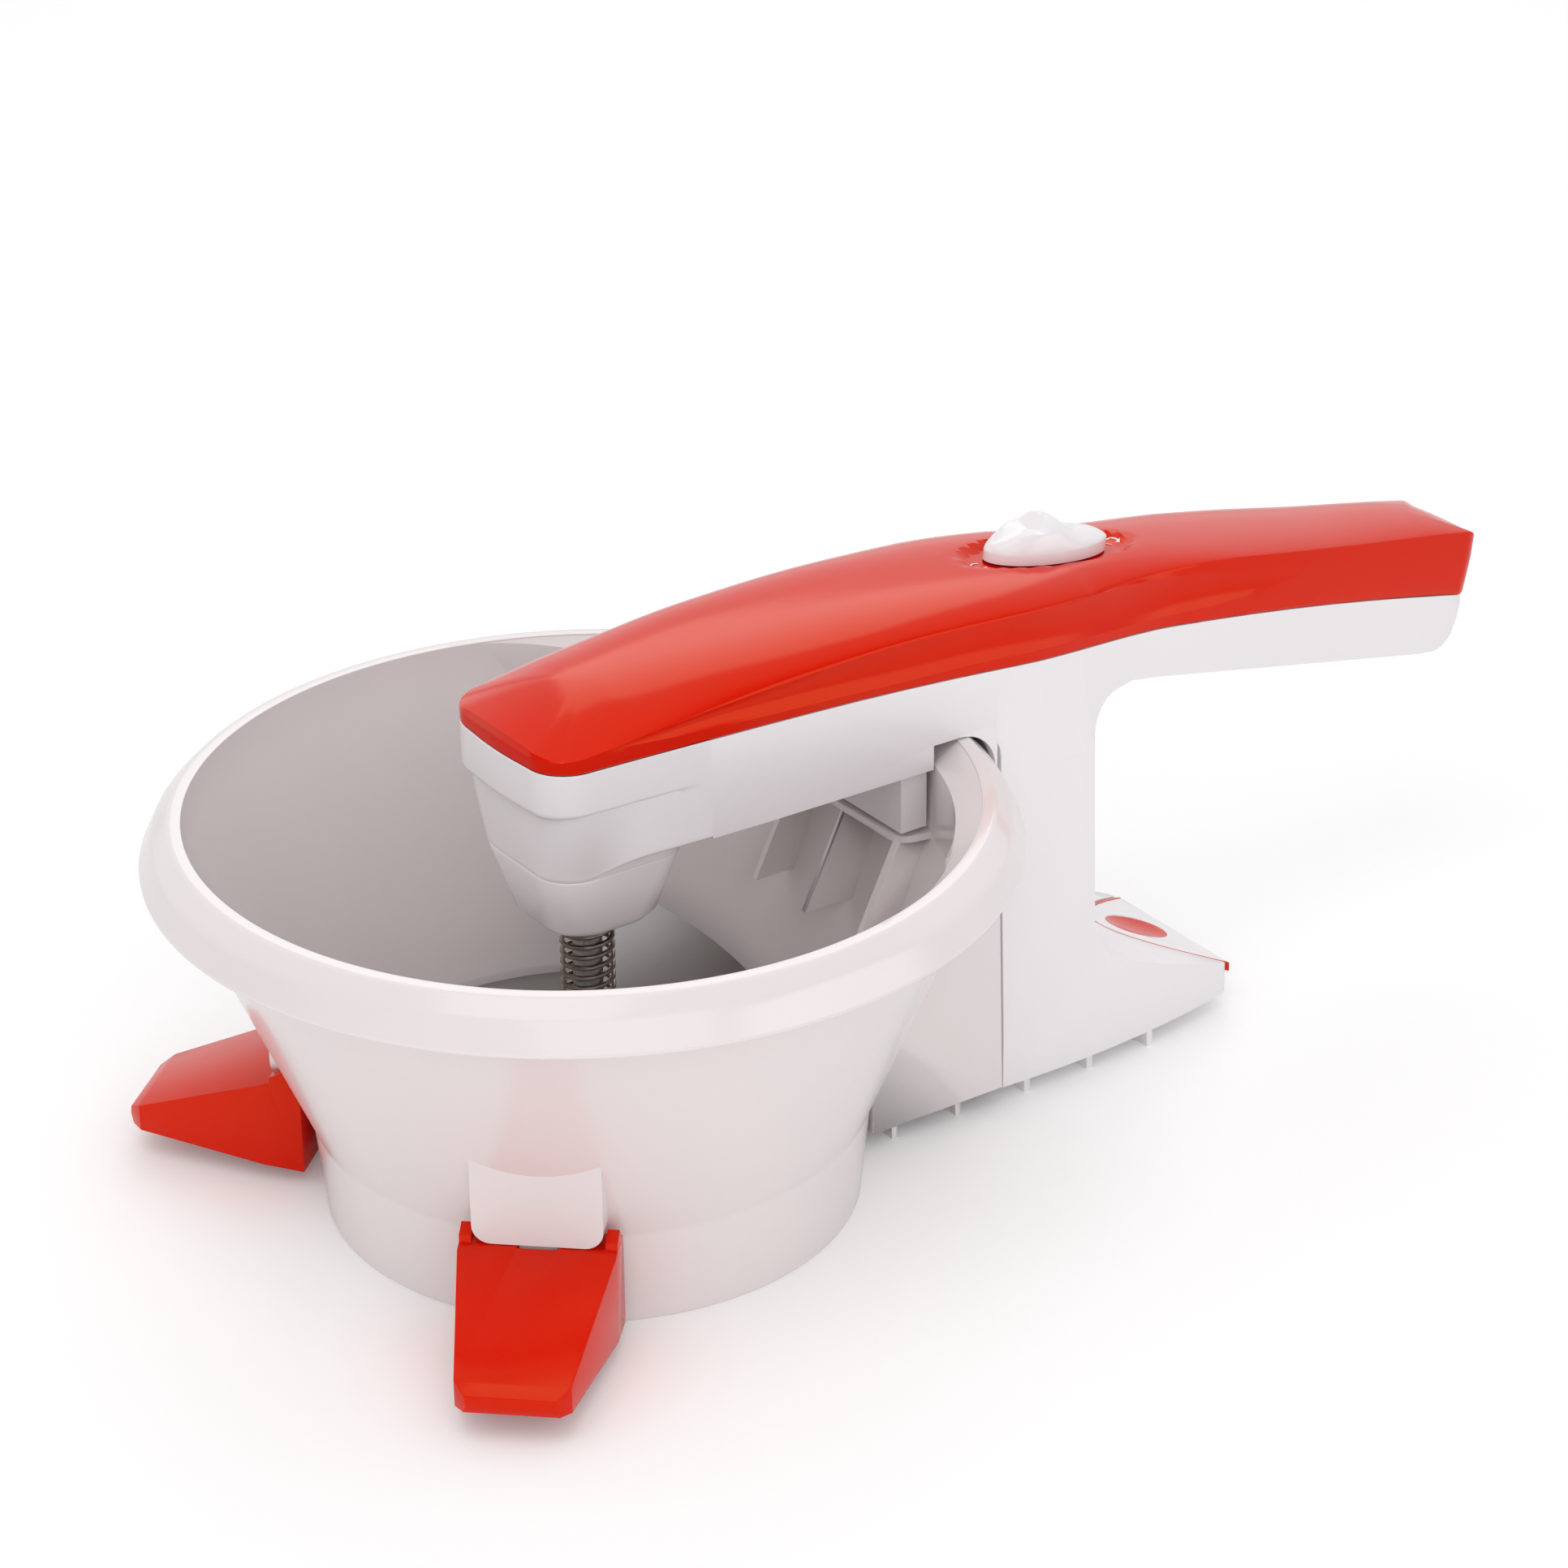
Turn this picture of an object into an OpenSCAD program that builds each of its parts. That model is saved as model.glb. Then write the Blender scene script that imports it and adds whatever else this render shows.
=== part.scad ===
// Electric food mill: a conical bowl on a spigot and two clip-on feet, with a
// detachable motor unit whose arm carries the spindle over a perforated disc.
// X runs from the bowl axis towards the handle end, Z is up, and the origin is
// on the bowl axis in the plane that the mill rests on.

/* [Bowl] */
// Outer radius of the outlet spigot where it stands on the table
spigot_r = 73; // [65:0.5:80]
// Height of the spigot, up to where the cone begins
spigot_h = 27.5; // [24:0.5:32]
// Outward draft of the spigot over its height
spigot_draft = 2.7; // [1:0.1:4]
// Outer radius of the cone where it meets the rim
cone_r = 107; // [102:0.5:115]
// Height of the rim crest above the table
rim_h = 116; // [110:0.5:125]
// How far the rim's outer lip hangs down from the crest
lip_drop = 13; // [10:0.5:15]
// How far the lip stands out beyond the cone
lip_out = 9.5; // [8.5:0.5:12]
// Wall of the bowl
bowl_wall = 2.9; // [2:0.1:3.5]

/* [Disc and blade] */
// Thickness of the perforated disc
disc_t = 1.2; // [0.8:0.1:1.6]
// Diameter of each hole in the disc
disc_hole_d = 4.5; // [2.5:0.1:5]
// Radius of the drive spindle
spindle_r = 4; // [3:0.1:4.5]
// Height of the blade's hub
hub_h = 24; // [20:0.5:28]
// Outer diameter of the pressure spring
spring_d = 15.1; // [14:0.1:17]
// Wire of the pressure spring
spring_wire = 1.4; // [1:0.1:1.8]

/* [Motor unit] */
// Half of the arm's width beside the rim
arm_half = 30; // [28:0.5:34]
// How far the nose reaches past the bowl axis
nose_reach = 25.5; // [23:0.5:28]
// Handle end, measured from the bowl axis at the parting line
handle_end = 301.5; // [285:0.5:320]
// Depth of the column that stands behind the bowl
column_d = 32.5; // [28:0.5:38]
// How far the tail reaches behind the column
tail_l = 57.5; // [50:0.5:64]
// Wall of the motor unit's mouldings
shell = 2.6; // [2:0.1:3]
// Diameter of the motor
motor_d = 30; // [26:0.5:31]
// Teeth on the pinion
pinion_teeth = 12; // [12:1:12]
// Teeth on the crown wheel
crown_teeth = 28; // [28:1:28]

/* [Feet] */
// Bearing of each foot from the handle's direction, degrees
foot_angle = 132; // [120:1:140]
// Reach of each foot from the bowl axis
foot_reach = 129.5; // [120:0.5:140]
// Half of the foot's width at its root
foot_half = 20.5; // [19:0.1:22]
// Half of the foot's width at its tip
foot_tip_half = 14.3; // [11:0.1:16]

/* [Fits] */
// Gap between two bodies that move past each other
gap = 0.3; // [0.3:0.05:0.5]
// Radial clearance of a shaft in its bush
shaft_gap = 0.05; // [0.02:0.01:0.09]

/* [Hidden] */
$fn = 72;
white = [0.93, 0.92, 0.93];
red = [0.86, 0.09, 0.03];
steel = [0.72, 0.72, 0.73];
dark = [0.16, 0.16, 0.17];

// Bowl
lip_r = cone_r + lip_out;
lip_z = rim_h - lip_drop;
crest_r = cone_r - 2;
crest_band = 3.6;
cone_slope = (cone_r - spigot_r - spigot_draft) / (lip_z - spigot_h);
outlet_r = spigot_r - 3;
outlet_l = 10;
ledge_t = 2.4;
ledge_z = spigot_h - 5.5;
pad_w = 7;
pad_drop = 6;
pad_half_angle = 50;
bracket_wall = 3;
base_z = 5;
rib_t = 2;

foot_top = spigot_h + 3.2;

// Disc, blade and spindle
disc_z = ledge_z + ledge_t;
disc_seat_r = spigot_r + spigot_draft * disc_z / spigot_h - bowl_wall - 0.2;
disc_r = disc_seat_r - gap;
hub_r = 8;
hub_z = disc_z + disc_t + 0.4;
hub_top = hub_z + hub_h;
vane_r = disc_r - 6;
vane_tilt = 30;
vane_t = 1.6;
vane_sweep = 62;
key_w = 2.4;
key_d = 1.6;
scraper_t = 2;
nut_h = 7;
float_l = 3;

// Motor unit in plan
col_x = lip_r - 1.5;
col_back = col_x + column_d;
tail_x = col_back + tail_l;
seam_gap = 0.5;
leg_x = lip_r - 24;
leg_t = 8.5;
leg_half = arm_half - 3;
nose_round = 12;
end_round = 7;
shelf_t = 2;
col_half_top = arm_half + 0.5;
col_half_base = arm_half + 4;

// Motor unit in height
arch_z = rim_h + 0.6;
arch_round = 9.5;
arm_z = rim_h - 6.5;
boss_z = rim_h - 12;
leg_z = rim_h - 24.6;
part_z = rim_h + 22;
part_bow = 1180;
top_z = rim_h + 37;
under_dx = 18;
under_z = rim_h - 2.1;
under_slope = 0.226;
tail_round = 6;
split_z = rim_h - 16;

// Drive train
shaft_z = part_z - 10;
pinion_pitch_r = 6;
crown_pitch_r = pinion_pitch_r * crown_teeth / pinion_teeth;
tooth_h = 0.7;
tooth_root = 1;
tooth_w = 1.1;
face_half = 1.5;
crown_z = shaft_z - pinion_pitch_r;
gear_x = 24.3;
gear_l = 25.2;
end_cap_l = 6;
motor_l = leg_x - shell - 1.4 - end_cap_l - gear_x - gear_l;
frame_x = 19.5;
frame_t = 2.4;
frame_top = shaft_z + pinion_pitch_r + tooth_h + 0.5 + frame_t;
bush_r = 7;
top_bush_r = 6;
boss_half = 21.4;
boss_foot_half = 15.6;
boss_bottom = boss_z - 20.6;
boss_round = 11.5;
cap_ring_r = 17;

// Switch
switch_x = col_x + 38;
switch_slope = atan((switch_x - 68) / 680);
dish_l = 61;
dish_w = 25;
dish_depth = 1.6;
knob_l = 41;
knob_w = 18;
knob_h = 11.5;
knob_stem_l = 14;
knob_stem_w = 5;
knob_travel = 5.5;

// Release
pivot_x = col_back + 5;
pivot_z = base_z + 8;
pin_r = 2;
lever_half = 7;
panel_x = col_back + 27.5;
panel_t = 1.8;
tray_t = 3;
spring_x = tail_x - 16;
spring_top = base_z + 9;
rim_line = 0.7;
pad_x = col_back + 42;
pad_l = 19;
pad_wd = 17;
pad_curve = 50;

function sq(v) = v * v;
function unit(v) = v / norm(v);
function smooth(u) = let(c = min(1, max(0, u))) c * c * (3 - 2 * c);
function back(p) = [for (i = [len(p) - 1:-1:0]) p[i]];
function flip(p) = [for (q = back(p)) [q.x, -q.y]];
function arc(c, r, a0, a1, n) =
    [for (i = [0:n]) c + r * [cos(a0 + (a1 - a0) * i / n), sin(a0 + (a1 - a0) * i / n)]];
function oval(l, w, n = 40) =
    [for (i = [0:n - 1]) [l / 2 * cos(360 * i / n), w / 2 * sin(360 * i / n)]];

// Moves every edge of an anticlockwise outline inwards by t.
function inset(p, t) = let(n = len(p)) [for (i = [0:n - 1])
    let(u = unit(p[i] - p[(i + n - 1) % n]), v = unit(p[(i + 1) % n] - p[i]),
        m = [-u.y - v.y, u.x + v.x]) p[i] + 2 * t * m / (m * m)];

// Half-width of the arm and handle, and of the base, at a place along X.
function handle_half(x) = arm_half - 8 - 7 * (x - col_x - 75) / (handle_end - col_x - 75);
function arm_w(x) =
    x < 60 ? arm_half - 4 * sq((60 - x) / 85)
    : x < col_x + 5 ? arm_half + 0.5 * (x - 60) / (col_x - 55)
    : x < col_x + 75 ? arm_half + 0.5 - 8.5 * smooth((x - col_x - 5) / 70)
    : handle_half(x);
function base_w(x) = col_half_base - 0.0015 * sq(x - col_x - 20);

// Height of the parting line and of the cover's shoulder.
function bow_drop(r, d) = r - sqrt(r * r - d * d);
function part_at(x) = part_z - bow_drop(part_bow, x - 8);
function top_at(x) =
    x < col_x + 65 ? top_z - bow_drop(680, x - 68)
    : let(x0 = col_x + 65, d = x - x0)
      top_z - bow_drop(680, x0 - 68) - 0.167 * d - d * d / 5200;
function under_at(x) = under_z - under_slope * (x - col_back - under_dx);

// Plan of the arm and handle, and of the column with its tail.
function arm_side() = concat(
    arc([nose_round - nose_reach, nose_round - arm_w(nose_round - nose_reach)],
        nose_round, 180, 270, 6),
    [for (x = [-5:15:handle_end - 12]) [x, -arm_w(x)]],
    arc([handle_end - end_round, end_round - handle_half(handle_end)], end_round, 270, 345, 4));
arm_plan = concat([[-nose_reach - 0.8, 0]], arm_side(), flip(arm_side()));
function base_side() = concat(
    [for (x = [col_x:10:tail_x - 12]) [x, -base_w(x)]],
    arc([tail_x - 1.5 - tail_round, tail_round - base_w(tail_x - tail_round)],
        tail_round, 280, 350, 4));
base_plan = concat(base_side(), [[tail_x, 0]], flip(base_side()));

// Side view of the housing without its leg, anticlockwise from the nose.
end_z = part_at(handle_end);
end_low = under_at(handle_end - 14);
side_view = concat(
    [[-nose_reach + 3.2, arm_z], [leg_x, arm_z], [leg_x, arch_z]],
    arc([col_x - arch_round, arch_z - arch_round], arch_round, 90, 0, 6),
    [[col_x, base_z], [tail_x - 3, base_z]],
    arc([tail_x - 4, base_z + 4], 4, 285, 380, 4),
    [[tail_x - 3.5, base_z + 9.2], [tail_x - 12, base_z + 12.6], [tail_x - 33, base_z + 20.8]],
    back(arc([col_back + 17, base_z + 42.5], 17, 180, 253, 6)),
    arc([col_back + 11, under_z - 11], 11, 180, 100, 5),
    [[col_back + under_dx, under_z], [handle_end - 21, under_at(handle_end - 21)]],
    arc([handle_end - 14, end_low + 9], 8.5, 262, 342, 5),
    [[handle_end - 2.6, end_z - 2.4], [handle_end, end_z]],
    [for (x = [handle_end - 10:-16:0]) [x, part_at(x)]],
    [[-nose_reach - 1, part_at(-nose_reach)]]);

module upright(outline, z0, z1) {
    translate([0, 0, z0]) linear_extrude(z1 - z0) polygon(outline);
}

module crosswise(outline, half) {
    rotate([90, 0, 0]) translate([0, 0, -half]) linear_extrude(2 * half) polygon(outline);
}

module ring(r_out, r_in, z0, z1) {
    translate([0, 0, z0]) linear_extrude(z1 - z0) difference() {
        circle(r_out);
        circle(r_in);
    }
}

module rod(r, z0, z1) {
    translate([0, 0, z0]) cylinder(r = r, h = z1 - z0);
}

// A round bar along X.
module bar(r, x0, x1) {
    translate([x0, 0, 0]) rotate([0, 90, 0]) cylinder(r = r, h = x1 - x0);
}

module slab(x0, x1, half, z0, z1) {
    translate([x0, -half, z0]) cube([x1 - x0, 2 * half, z1 - z0]);
}

// Side draft shared by the bracket and the column behind it.
module drafted(x0, x1, t) {
    lo = base_z - 6;
    hi = arch_z + 14;
    grow = (col_half_base - col_half_top) / (arm_z - base_z);
    w0 = col_half_base + grow * (base_z - lo) - t;
    w1 = col_half_base - grow * (hi - base_z) - t;
    translate([x0, 0, 0]) rotate([90, 0, 90]) linear_extrude(x1 - x0)
        polygon([[-w0, lo], [w0, lo], [w1, hi], [-w1, hi]]);
}

// Coil spring between two heights, with closed ends.
module coil(mean_r, wire_r, z0, z1, turns) {
    per = 16;
    n = turns * per;
    m = 7;
    function rise(k) = let(u = k / per)
        u < 1 ? wire_r * sq(u)
        : u > turns - 1 ? (z1 - z0 - 2 * wire_r) - wire_r * sq(turns - u)
        : wire_r + (z1 - z0 - 4 * wire_r) * (u - 1) / (turns - 2);
    pts = [for (k = [0:n], j = [0:m - 1])
        let(a = 360 * k / per, b = 360 * j / m, r = mean_r + wire_r * cos(b))
        [r * cos(a), r * sin(a), z0 + wire_r + rise(k) + wire_r * sin(b)]];
    faces = concat(
        [[for (j = [0:m - 1]) j]],
        [[for (j = [m - 1:-1:0]) n * m + j]],
        [for (k = [0:n - 1], j = [0:m - 1])
            [k * m + j, (k + 1) * m + j, (k + 1) * m + (j + 1) % m]],
        [for (k = [0:n - 1], j = [0:m - 1])
            [k * m + j, (k + 1) * m + (j + 1) % m, k * m + (j + 1) % m]]);
    polyhedron(pts, faces, convexity = 10);
}

// ---- Bowl ----

function cone_at(z) = cone_r - cone_slope * (lip_z - z);

bowl_outer = [[0, 0], [spigot_r, 0], [spigot_r + spigot_draft, spigot_h], [cone_r, lip_z],
    [cone_r + 1.6, lip_z + 5.5], [lip_r - 4.4, lip_z + 5.5], [lip_r - 2.5, lip_z],
    [lip_r, lip_z], [lip_r + 0.1, lip_z + 1.2], [crest_r + crest_band + 4.6, rim_h - 4.6],
    [crest_r + crest_band, rim_h], [crest_r, rim_h], [0, rim_h]];
bowl_inner = [[0, -1], [outlet_r, -1], [outlet_r, outlet_l],
    [disc_seat_r - 1.2, ledge_z], [disc_seat_r - 6, ledge_z], [disc_seat_r - 6, disc_z],
    [disc_seat_r, disc_z], [spigot_r + spigot_draft - bowl_wall, spigot_h],
    [cone_r - bowl_wall, lip_z], [crest_r, rim_h - 0.5], [crest_r, rim_h + 1], [0, rim_h + 1]];

module bracket() {
    intersection() {
        drafted(spigot_r - 3, col_x - seam_gap, 0.4);
        slab(spigot_r - 3, col_x - seam_gap, 40, base_z + 0.4, lip_z - 0.4);
    }
}

module bracket_hollow() {
    x1 = col_x - seam_gap - bracket_wall;
    intersection() {
        drafted(spigot_r - 4, x1, 0.4 + bracket_wall);
        slab(spigot_r - 4, x1, 40, base_z - 1, lip_z - 6);
    }
}

module pot_ribs(stations) {
    half = arm_half - 1;
    for (x = stations) slab(x - rib_t / 2, x + rib_t / 2, half + 6, 0, base_z + 1);
    for (i = [0:len(stations) - 2], s = [-1, 1])
        let(run = [stations[i + 1] - stations[i], 2 * half])
            translate([stations[i] + run.x / 2, 0, base_z / 2 + 0.5])
                rotate([0, 0, s * atan2(run.y, run.x)])
                    cube([norm(run), 0.7 * rib_t, base_z + 1], center = true);
}

module tongue(side) {
    r1 = cone_at(54) - 1;
    rotate([0, 0, side * foot_angle]) {
        intersection() {
            translate([cone_at(31) - 4, 0, 31]) rotate([90, 0, 90])
                linear_extrude(r1 - cone_at(31) + 4) {
                translate([-17, 5]) square([34, 30]);
                translate([-12, 0]) square([24, 8]);
                for (s = [-1, 1]) translate([s * 12, 5]) circle(5);
            }
            slab(60, r1, 20, 31, 60);
        }
        slab(spigot_r, r1 - 1, 5, 27.5, 32);
        slab(spigot_r, r1 - 1, 9, 24.5, 27.6);
    }
}

module shelf() {
    x1 = cone_r - 8;
    z1 = leg_z - 2;
    front = leg_x - leg_t;
    upright(concat(arc([front + 6, 6 - leg_half], 6, 180, 270, 6), [[x1 + 2, -leg_half - 2]],
        [[x1 + 2, leg_half + 2]], arc([front + 6, leg_half - 6], 6, 90, 180, 6)),
        z1 - shelf_t, z1);
    for (y = [-leg_half + 3, 0, leg_half - 3])
        translate([0, y, 0]) crosswise([[front + 0.5, z1 - 1], [front - 13.5, z1 - 29],
            [x1, z1 - 29], [x1, z1 - 1]], 0.9);
}

module rim_pad() {
    rotate([0, 0, -pad_half_angle]) rotate_extrude(angle = 2 * pad_half_angle)
        polygon([[crest_r + 0.7, rim_h - 0.3], [crest_r - pad_w, rim_h - pad_drop],
            [crest_r - pad_w, rim_h - 28], [crest_r + 0.7, rim_h - 12]]);
}

module bowl() {
    color(white) {
        difference() {
            union() {
                rotate_extrude($fn = 144) polygon(bowl_outer);
                difference() {
                    bracket();
                    bracket_hollow();
                }
                slab(spigot_r + 1, col_x - 2, rib_t / 2, base_z + 0.4, lip_z - 4);
                intersection() {
                    drafted(spigot_r, col_x - seam_gap, 3);
                    pot_ribs([spigot_r + 6, col_x - 14]);
                }
                for (side = [-1, 1]) tongue(side);
            }
            rotate_extrude($fn = 144) polygon(bowl_inner);
            slab(col_x - 6, col_x, lever_half + 1, pivot_z + 0.2, pivot_z + 9);
            slab(col_x - 7, col_x - seam_gap - bracket_wall, lever_half + 1, pivot_z - 2.4,
                pivot_z + 9);
        }
        intersection() {
            union() {
                shelf();
                rim_pad();
            }
            rotate_extrude($fn = 144) polygon([[50, spigot_h], [cone_at(spigot_h) - 1, spigot_h],
                [cone_r - 1, lip_z], [cone_r - 1, rim_h], [50, rim_h]]);
        }
    }
}

// ---- Feet ----

module foot_form(t) {
    r0 = spigot_r + spigot_draft + 0.8;
    brow = cone_at(54) - 0.7;
    drop = 4 * t;
    intersection() {
        crosswise([[r0 + t, base_z - 1 - drop], [foot_reach - 1 - t, base_z + 3.4 - drop],
            [foot_reach - t, base_z + 6 - t], [foot_reach - 0.4 - t, base_z + 8.6 - t],
            [foot_reach - 3.5 - t, base_z + 10.6 - t], [brow, foot_top - t],
            [cone_at(foot_top) + gap + t, foot_top - t], [r0 + t, spigot_h]], 30);
        upright([[r0 + t, -foot_half + t], [brow + 2, -foot_half + t],
            [foot_reach - 4, -foot_tip_half - 0.6 + t], [foot_reach - t, -foot_tip_half + 3],
            [foot_reach - t, foot_tip_half - 3], [foot_reach - 4, foot_tip_half + 0.6 - t],
            [brow + 2, foot_half - t], [r0 + t, foot_half - t]], -20, 50);
    }
}

module foot(side) {
    r0 = spigot_r + spigot_draft + 0.8;
    brow = cone_at(54) - 0.7;
    color(red) rotate([0, 0, side * foot_angle]) difference() {
        union() {
            foot_form(0);
            for (s = [-1, 1]) translate([0, s * (17 + gap + foot_half) / 2, 0])
                crosswise([[r0 + 1.8, 25], [brow, 25], [brow - 1, 32.6], [brow - 5, 34.4],
                    [cone_at(33) + 1.6, 32.6], [r0 + 1.8, 29]], (foot_half - 17 - gap) / 2);
        }
        difference() {
            intersection() {
                foot_form(shell);
                slab(r0 - 1, foot_reach, 30, -5, 22);
            }
            slab(r0, foot_reach, 0.9, 0, 30);
        }
        slab(r0 - 1, brow + 0.3, 9 + gap, 24.5 - gap, 27.6 + gap);
        slab(r0 - 1, brow + 0.3, 5 + gap, 27, 31);
    }
}

module foot_left() {
    foot(-1);
}

module foot_right() {
    foot(1);
}

// ---- Disc, blade and spindle ----

module mill_disc() {
    pitch = disc_hole_d + 5;
    rings = floor((disc_r - 14 - disc_hole_d) / pitch);
    color(steel) translate([0, 0, disc_z]) linear_extrude(disc_t) difference() {
        circle(disc_r, $fn = 144);
        circle(hub_r + 0.6);
        for (k = [0:rings - 1])
            let(r = 16 + k * pitch, n = floor(2 * PI * r / (1.25 * pitch)))
                for (i = [0:n - 1]) rotate(i * 360 / n + 11 * k) translate([r, 0])
                    circle(d = disc_hole_d, $fn = 24);
    }
}

module vane() {
    rise = tan(vane_tilt);
    far = vane_r * sin(vane_sweep);
    intersection() {
        rotate([90, 0, 90]) linear_extrude(vane_r + 1) polygon([[0, hub_z],
            [vane_t / sin(vane_tilt), hub_z], [far, hub_z + rise * far - vane_t * 1.15],
            [far, hub_z + rise * far]]);
        upright(concat([[2, 0]], arc([0, 0], vane_r, 0, vane_sweep, 12), [[2, 5]]), hub_z, 120);
    }
}

module blade() {
    color(steel) difference() {
        union() {
            rod(hub_r, hub_z, hub_top - 4);
            rod(hub_r - 1.2, hub_top - 5, hub_top);
            for (a = [0, 180]) rotate([0, 0, a]) vane();
        }
        rod(spindle_r + shaft_gap, hub_z - 1, hub_top + 1);
        translate([0, -key_w / 2 - gap, hub_z - 1])
            cube([spindle_r + key_d + gap, key_w + 2 * gap, hub_h + 2]);
    }
}

spindle_end = disc_z - scraper_t - nut_h - 2.4;
collar_z = boss_bottom - 3;

module spindle() {
    color(steel) {
        difference() {
            union() {
                rod(spindle_r, spindle_end, frame_top + 1);
                rod(spring_d / 2, collar_z, collar_z + 2);
            }
            translate([0, 0, frame_top + 1]) cube([1.2, 20, 1.6], center = true);
        }
        translate([spindle_r - 1, -key_w / 2, hub_z + 2])
            cube([1 + key_d, key_w, hub_h - 2 + float_l]);
    }
}

module pressure_spring() {
    color(steel) coil(spring_d / 2 - spring_wire / 2, spring_wire / 2, hub_top, collar_z, 11);
}

module scraper() {
    z0 = disc_z - 0.4 - scraper_t;
    color(steel) difference() {
        union() {
            rod(hub_r, z0, z0 + scraper_t);
            translate([0, -4, z0]) cube([disc_seat_r - 12, 8, 1.6]);
            translate([6, 2.4, z0]) cube([disc_seat_r - 18, 1.6, scraper_t]);
        }
        rod(spindle_r, 0, disc_z);
    }
}

module spindle_nut() {
    z1 = disc_z - 0.4 - scraper_t;
    color(white) difference() {
        union() {
            rod(7.6, z1 - nut_h, z1);
            slab(-hub_r - 2.4, hub_r + 2.4, 1.8, z1 - nut_h + 0.6, z1 - 1);
        }
        rod(spindle_r, 0, z1 + 1);
    }
}

module crown_wheel() {
    r = crown_pitch_r;
    color(white) {
        difference() {
            rod(r + face_half + 0.6, crown_z - 7, crown_z - tooth_root);
            rod(spindle_r, crown_z - 8, crown_z);
            ring(r - face_half - 1, 7, crown_z - 4, crown_z);
        }
        for (i = [0:crown_teeth - 1]) rotate([0, 0, (i + 0.5) * 360 / crown_teeth])
            translate([r - face_half, 0, crown_z]) rotate([90, 0, 90]) linear_extrude(2 * face_half)
                polygon([[-0.75, -tooth_root - 0.3], [0.75, -tooth_root - 0.3], [0.3, tooth_h],
                    [-0.3, tooth_h]]);
    }
}

module pinion_shaft() {
    color(steel) translate([0, 0, shaft_z]) {
        bar(2.5, crown_pitch_r - face_half - 1, gear_x + 6);
        bar(pinion_pitch_r - tooth_root, crown_pitch_r - face_half, crown_pitch_r + face_half);
        for (i = [0:pinion_teeth - 1]) rotate([i * 360 / pinion_teeth, 0, 0])
            translate([crown_pitch_r - face_half, 0, 0]) rotate([90, 0, 90])
                linear_extrude(2 * face_half) polygon([
                    [-tooth_w / 2 - 0.15, 2 - pinion_pitch_r], [-0.3, -pinion_pitch_r - tooth_h],
                    [0.3, -pinion_pitch_r - tooth_h], [tooth_w / 2 + 0.15, 2 - pinion_pitch_r]]);
    }
}

module gearhead() {
    color(steel) translate([0, 0, shaft_z]) difference() {
        union() {
            bar(motor_d / 2 - 1, gear_x + 2, gear_x + gear_l);
            bar(6, gear_x, gear_x + 3);
        }
        bar(2.5 + shaft_gap, gear_x - 1, gear_x + 6.4);
    }
}

module motor_can() {
    color(steel) translate([0, 0, shaft_z]) difference() {
        bar(motor_d / 2, gear_x + gear_l, gear_x + gear_l + motor_l);
        for (a = [45, 135, 225, 315]) rotate([a, 0, 0])
            translate([gear_x + gear_l + 8, -3, motor_d / 2 - 1.5]) cube([12, 6, 3]);
    }
}

module motor_end_cap() {
    x0 = gear_x + gear_l + motor_l;
    color(dark) translate([0, 0, shaft_z]) {
        bar(motor_d / 2 - 0.6, x0, x0 + 3);
        bar(5, x0 + 3, x0 + end_cap_l);
        for (s = [-1, 1]) translate([x0 + 3, s * 9, 0]) cube([5, 0.8, 4], center = true);
    }
}

module gear_bracket() {
    color(steel) difference() {
        union() {
            slab(frame_x, frame_x + frame_t, 15, arm_z + shell, frame_top);
            slab(-10, frame_x + 1, 12, frame_top - frame_t, frame_top);
        }
        translate([0, 0, shaft_z]) bar(4, frame_x - 1, frame_x + frame_t + 1);
        rod(top_bush_r, frame_top - 5, frame_top + 1);
    }
}

module upper_bush() {
    color([0.78, 0.6, 0.3]) ring(top_bush_r, spindle_r + shaft_gap, frame_top - 5, frame_top);
}

module lower_bush() {
    color([0.78, 0.6, 0.3])
        ring(bush_r, spindle_r + shaft_gap, boss_bottom + 5, boss_bottom + 15);
}

module shaft_seal() {
    color(dark) difference() {
        union() {
            ring(bush_r, spindle_r + shaft_gap, boss_bottom + 0.8, boss_bottom + 5);
            ring(bush_r + 1.6, spindle_r + shaft_gap, boss_bottom - 0.6, boss_bottom + 0.8);
        }
        rod(spindle_r + 1.2, boss_bottom + 2, boss_bottom + 4);
    }
}

module rounded_square(half, r) {
    for (sx = [-1, 1], sy = [-1, 1]) translate([sx * (half - r), sy * (half - r)]) circle(r);
}

module boss_cap() {
    z1 = boss_z - 0.2;
    color(white) difference() {
        union() {
            difference() {
                hull() {
                    translate([0, 0, z1 - 1]) linear_extrude(1)
                        rounded_square(boss_half, boss_round);
                    translate([0, 0, boss_bottom + 2.5]) linear_extrude(0.1)
                        rounded_square(boss_foot_half + 1.4, boss_round);
                    translate([0, 0, boss_bottom]) linear_extrude(0.1)
                        rounded_square(boss_foot_half - 0.8, boss_round - 1);
                }
                rod(boss_foot_half - 2, boss_bottom + 3, z1 + 1);
            }
            rod(bush_r + 3, boss_bottom + 1, boss_bottom + 15);
            ring(cap_ring_r, cap_ring_r - 2.4, z1 - 6, z1 + 6);
        }
        rod(bush_r, boss_bottom + 0.8, boss_bottom + 16);
        rod(bush_r + 1.6, boss_bottom - 1, boss_bottom + 0.8);
    }
}

// ---- Motor unit's mouldings ----

module housing_block(plan, low_plan, side, t) {
    intersection() {
        crosswise(side, 60);
        union() {
            upright(plan, split_z - 0.1, part_z + 20);
            intersection() {
                upright(plan, split_z - 30, split_z + 1);
                slab(col_back + 30, handle_end + 5, 40, split_z - 30, split_z + 1);
            }
            intersection() {
                upright(low_plan, -10, split_z);
                drafted(col_x - 10, tail_x + 10, t);
            }
        }
    }
}

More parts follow.
